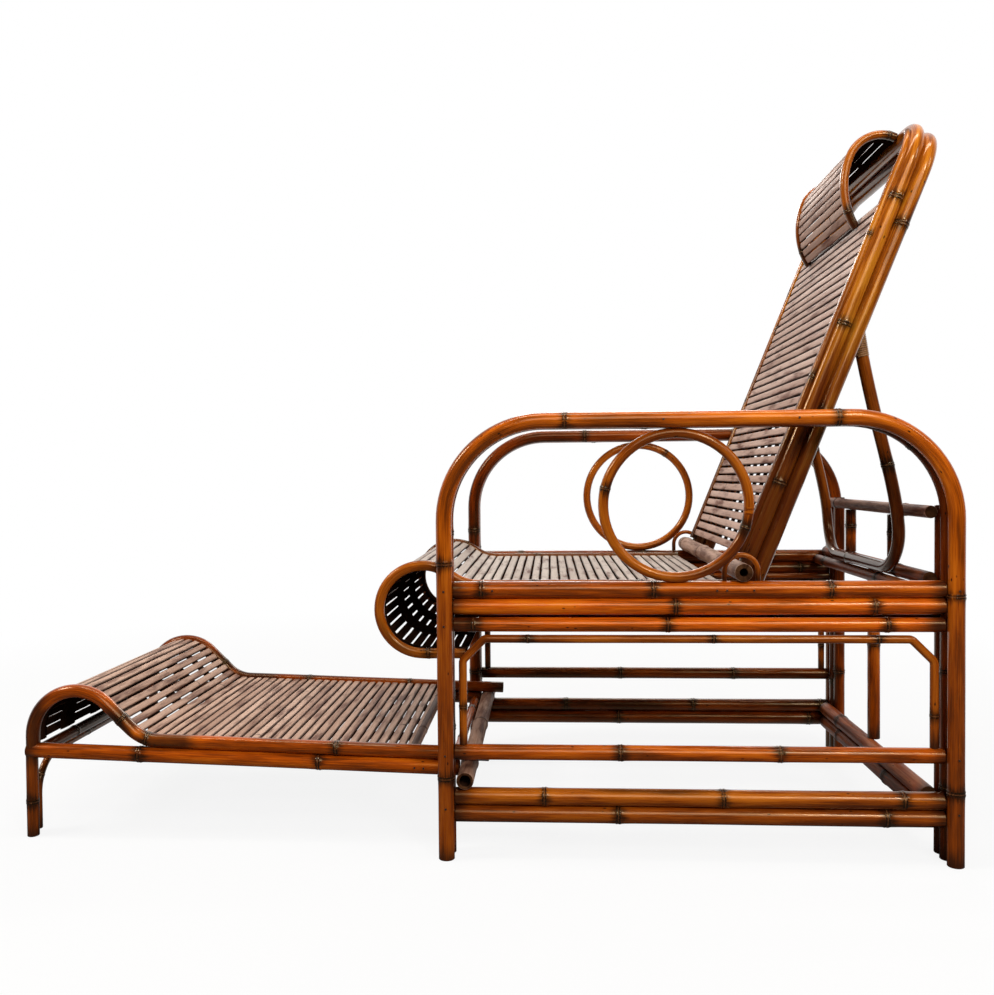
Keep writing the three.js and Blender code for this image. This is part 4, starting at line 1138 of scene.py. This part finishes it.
bm = bmesh.new()
bmesh.ops.create_grid(bm, x_segments=1, y_segments=1, size=30.0)
floor_mesh = bpy.data.meshes.new("floor")
bm.to_mesh(floor_mesh)
bm.free()
floor = bpy.data.objects.new("floor", floor_mesh)
floor.data.materials.append(white_stage("pale_floor", 0.88))
bpy.context.scene.collection.objects.link(floor)

# The white backdrop stands behind the chair, so shiny skin shows it only on that side.
world = bpy.data.worlds.new("studio")
bpy.context.scene.world = world
f = Finish("studio", world)
way = f.add("ShaderNodeTexCoord", out="Generated")
rays, seen = white_seen(f, way, -0.1, 0.6)
room = f.add("ShaderNodeBackground", {}, {"Color": (1.0, 0.98, 0.96, 1.0), "Strength": 0.08})
backdrop = f.add("ShaderNodeBackground", {}, {"Color": (1.0, 1.0, 1.0, 1.0), "Strength": 1.0})
sky = f.add("ShaderNodeMixShader", {}, {0: seen, 1: room, 2: backdrop})
f.add("ShaderNodeOutputWorld", {}, {"Surface": sky})

# %% [markdown]
# ## Lamps
# Lacquer shows its light sources as long streaks. A long lamp high above and a broad one in front
# give the even tone, a small window lamp gives the glints, and weaker lamps at the left, the right
# and the rear keep the far poles from going black. Area lamps were chosen because their shape is
# what the streaks show.

# %% Lamps
def lamp(name, place, aim, size, power, colour=(1.0, 0.97, 0.93)):
    light = bpy.data.lights.new(name, "AREA")
    light.shape = "RECTANGLE"
    light.size, light.size_y = size
    light.energy = power
    light.color = colour
    holder = bpy.data.objects.new(name, light)
    holder.location = place
    holder.rotation_euler = (Vector(aim) - Vector(place)).to_track_quat("-Z", "Y").to_euler()
    bpy.context.scene.collection.objects.link(holder)
    return holder


lamp("top_lamp", (0.1, -0.4, 5.0), (0.1, 0.0, 0.4), (4.4, 0.6), 104.0)
lamp("front_lamp", (0.9, -2.9, 2.2), (0.3, 0.0, 0.4), (2.4, 1.4), 52.0)
lamp("window_lamp", (1.5, -2.4, 2.3), (0.3, 0.0, 0.5), (0.35, 0.45), 16.0)
lamp("right_lamp", (2.6, -1.4, 2.1), (0.6, 0.0, 0.8), (0.5, 0.8), 9.0)
lamp("left_lamp", (-2.8, -0.9, 2.7), (0.2, 0.0, 0.6), (0.8, 0.8), 50.0)
lamp("rear_lamp", (0.4, 2.8, 2.2), (0.2, 0.0, 0.4), (1.6, 0.4), 26.0)

# %% [markdown]
# ## Camera
# The picture was taken from near the chair, so the far side looks smaller. The camera was fitted
# by numbers instead of by eye: its place, turn, tilt, roll and focal length make the corners of the
# side frame fall where the picture has them.

# %% Camera
# Fitted to the corners of the side frame: position, turn, tilt, roll and focal length.
YAW, TILT, ROLL = math.radians(3.240), math.radians(1.382), math.radians(0.496)
hoop_low, hoop_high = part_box("left_outer_arm_hoop")
middle_x = (hoop_low.x + hoop_high.x) / 2
ahead = Vector((-math.sin(YAW) * math.cos(TILT), math.cos(YAW) * math.cos(TILT), -math.sin(TILT)))
right = Vector((math.cos(YAW), math.sin(YAW), 0.0))
down = ahead.cross(right)
image_right = right * math.cos(ROLL) + down * math.sin(ROLL)
image_down = down * math.cos(ROLL) - right * math.sin(ROLL)
camera_data = bpy.data.cameras.new("camera")
camera_data.sensor_fit = "HORIZONTAL"
SENSOR, IMAGE_WIDTH, FOCAL_PIXELS = 36.0, 994, 906.6
camera_data.sensor_width = SENSOR
camera_data.lens = FOCAL_PIXELS / IMAGE_WIDTH * SENSOR
camera_data.clip_end = 100.0
camera = bpy.data.objects.new("camera", camera_data)
eye = (middle_x - 0.22592, -1.70514, 0.60021)
camera.matrix_world = (Matrix.Translation(eye)
                       @ Matrix((image_right, -image_down, -ahead)).transposed().to_4x4())
bpy.context.scene.collection.objects.link(camera)
bpy.context.scene.camera = camera
bpy.context.scene.view_settings.view_transform = "Standard"

# %% [markdown]
# ## Counts
# The number of pieces and their faces is printed.

# %% Counts
print(len(made), "pieces,", sum(count for _, count in made), "faces")
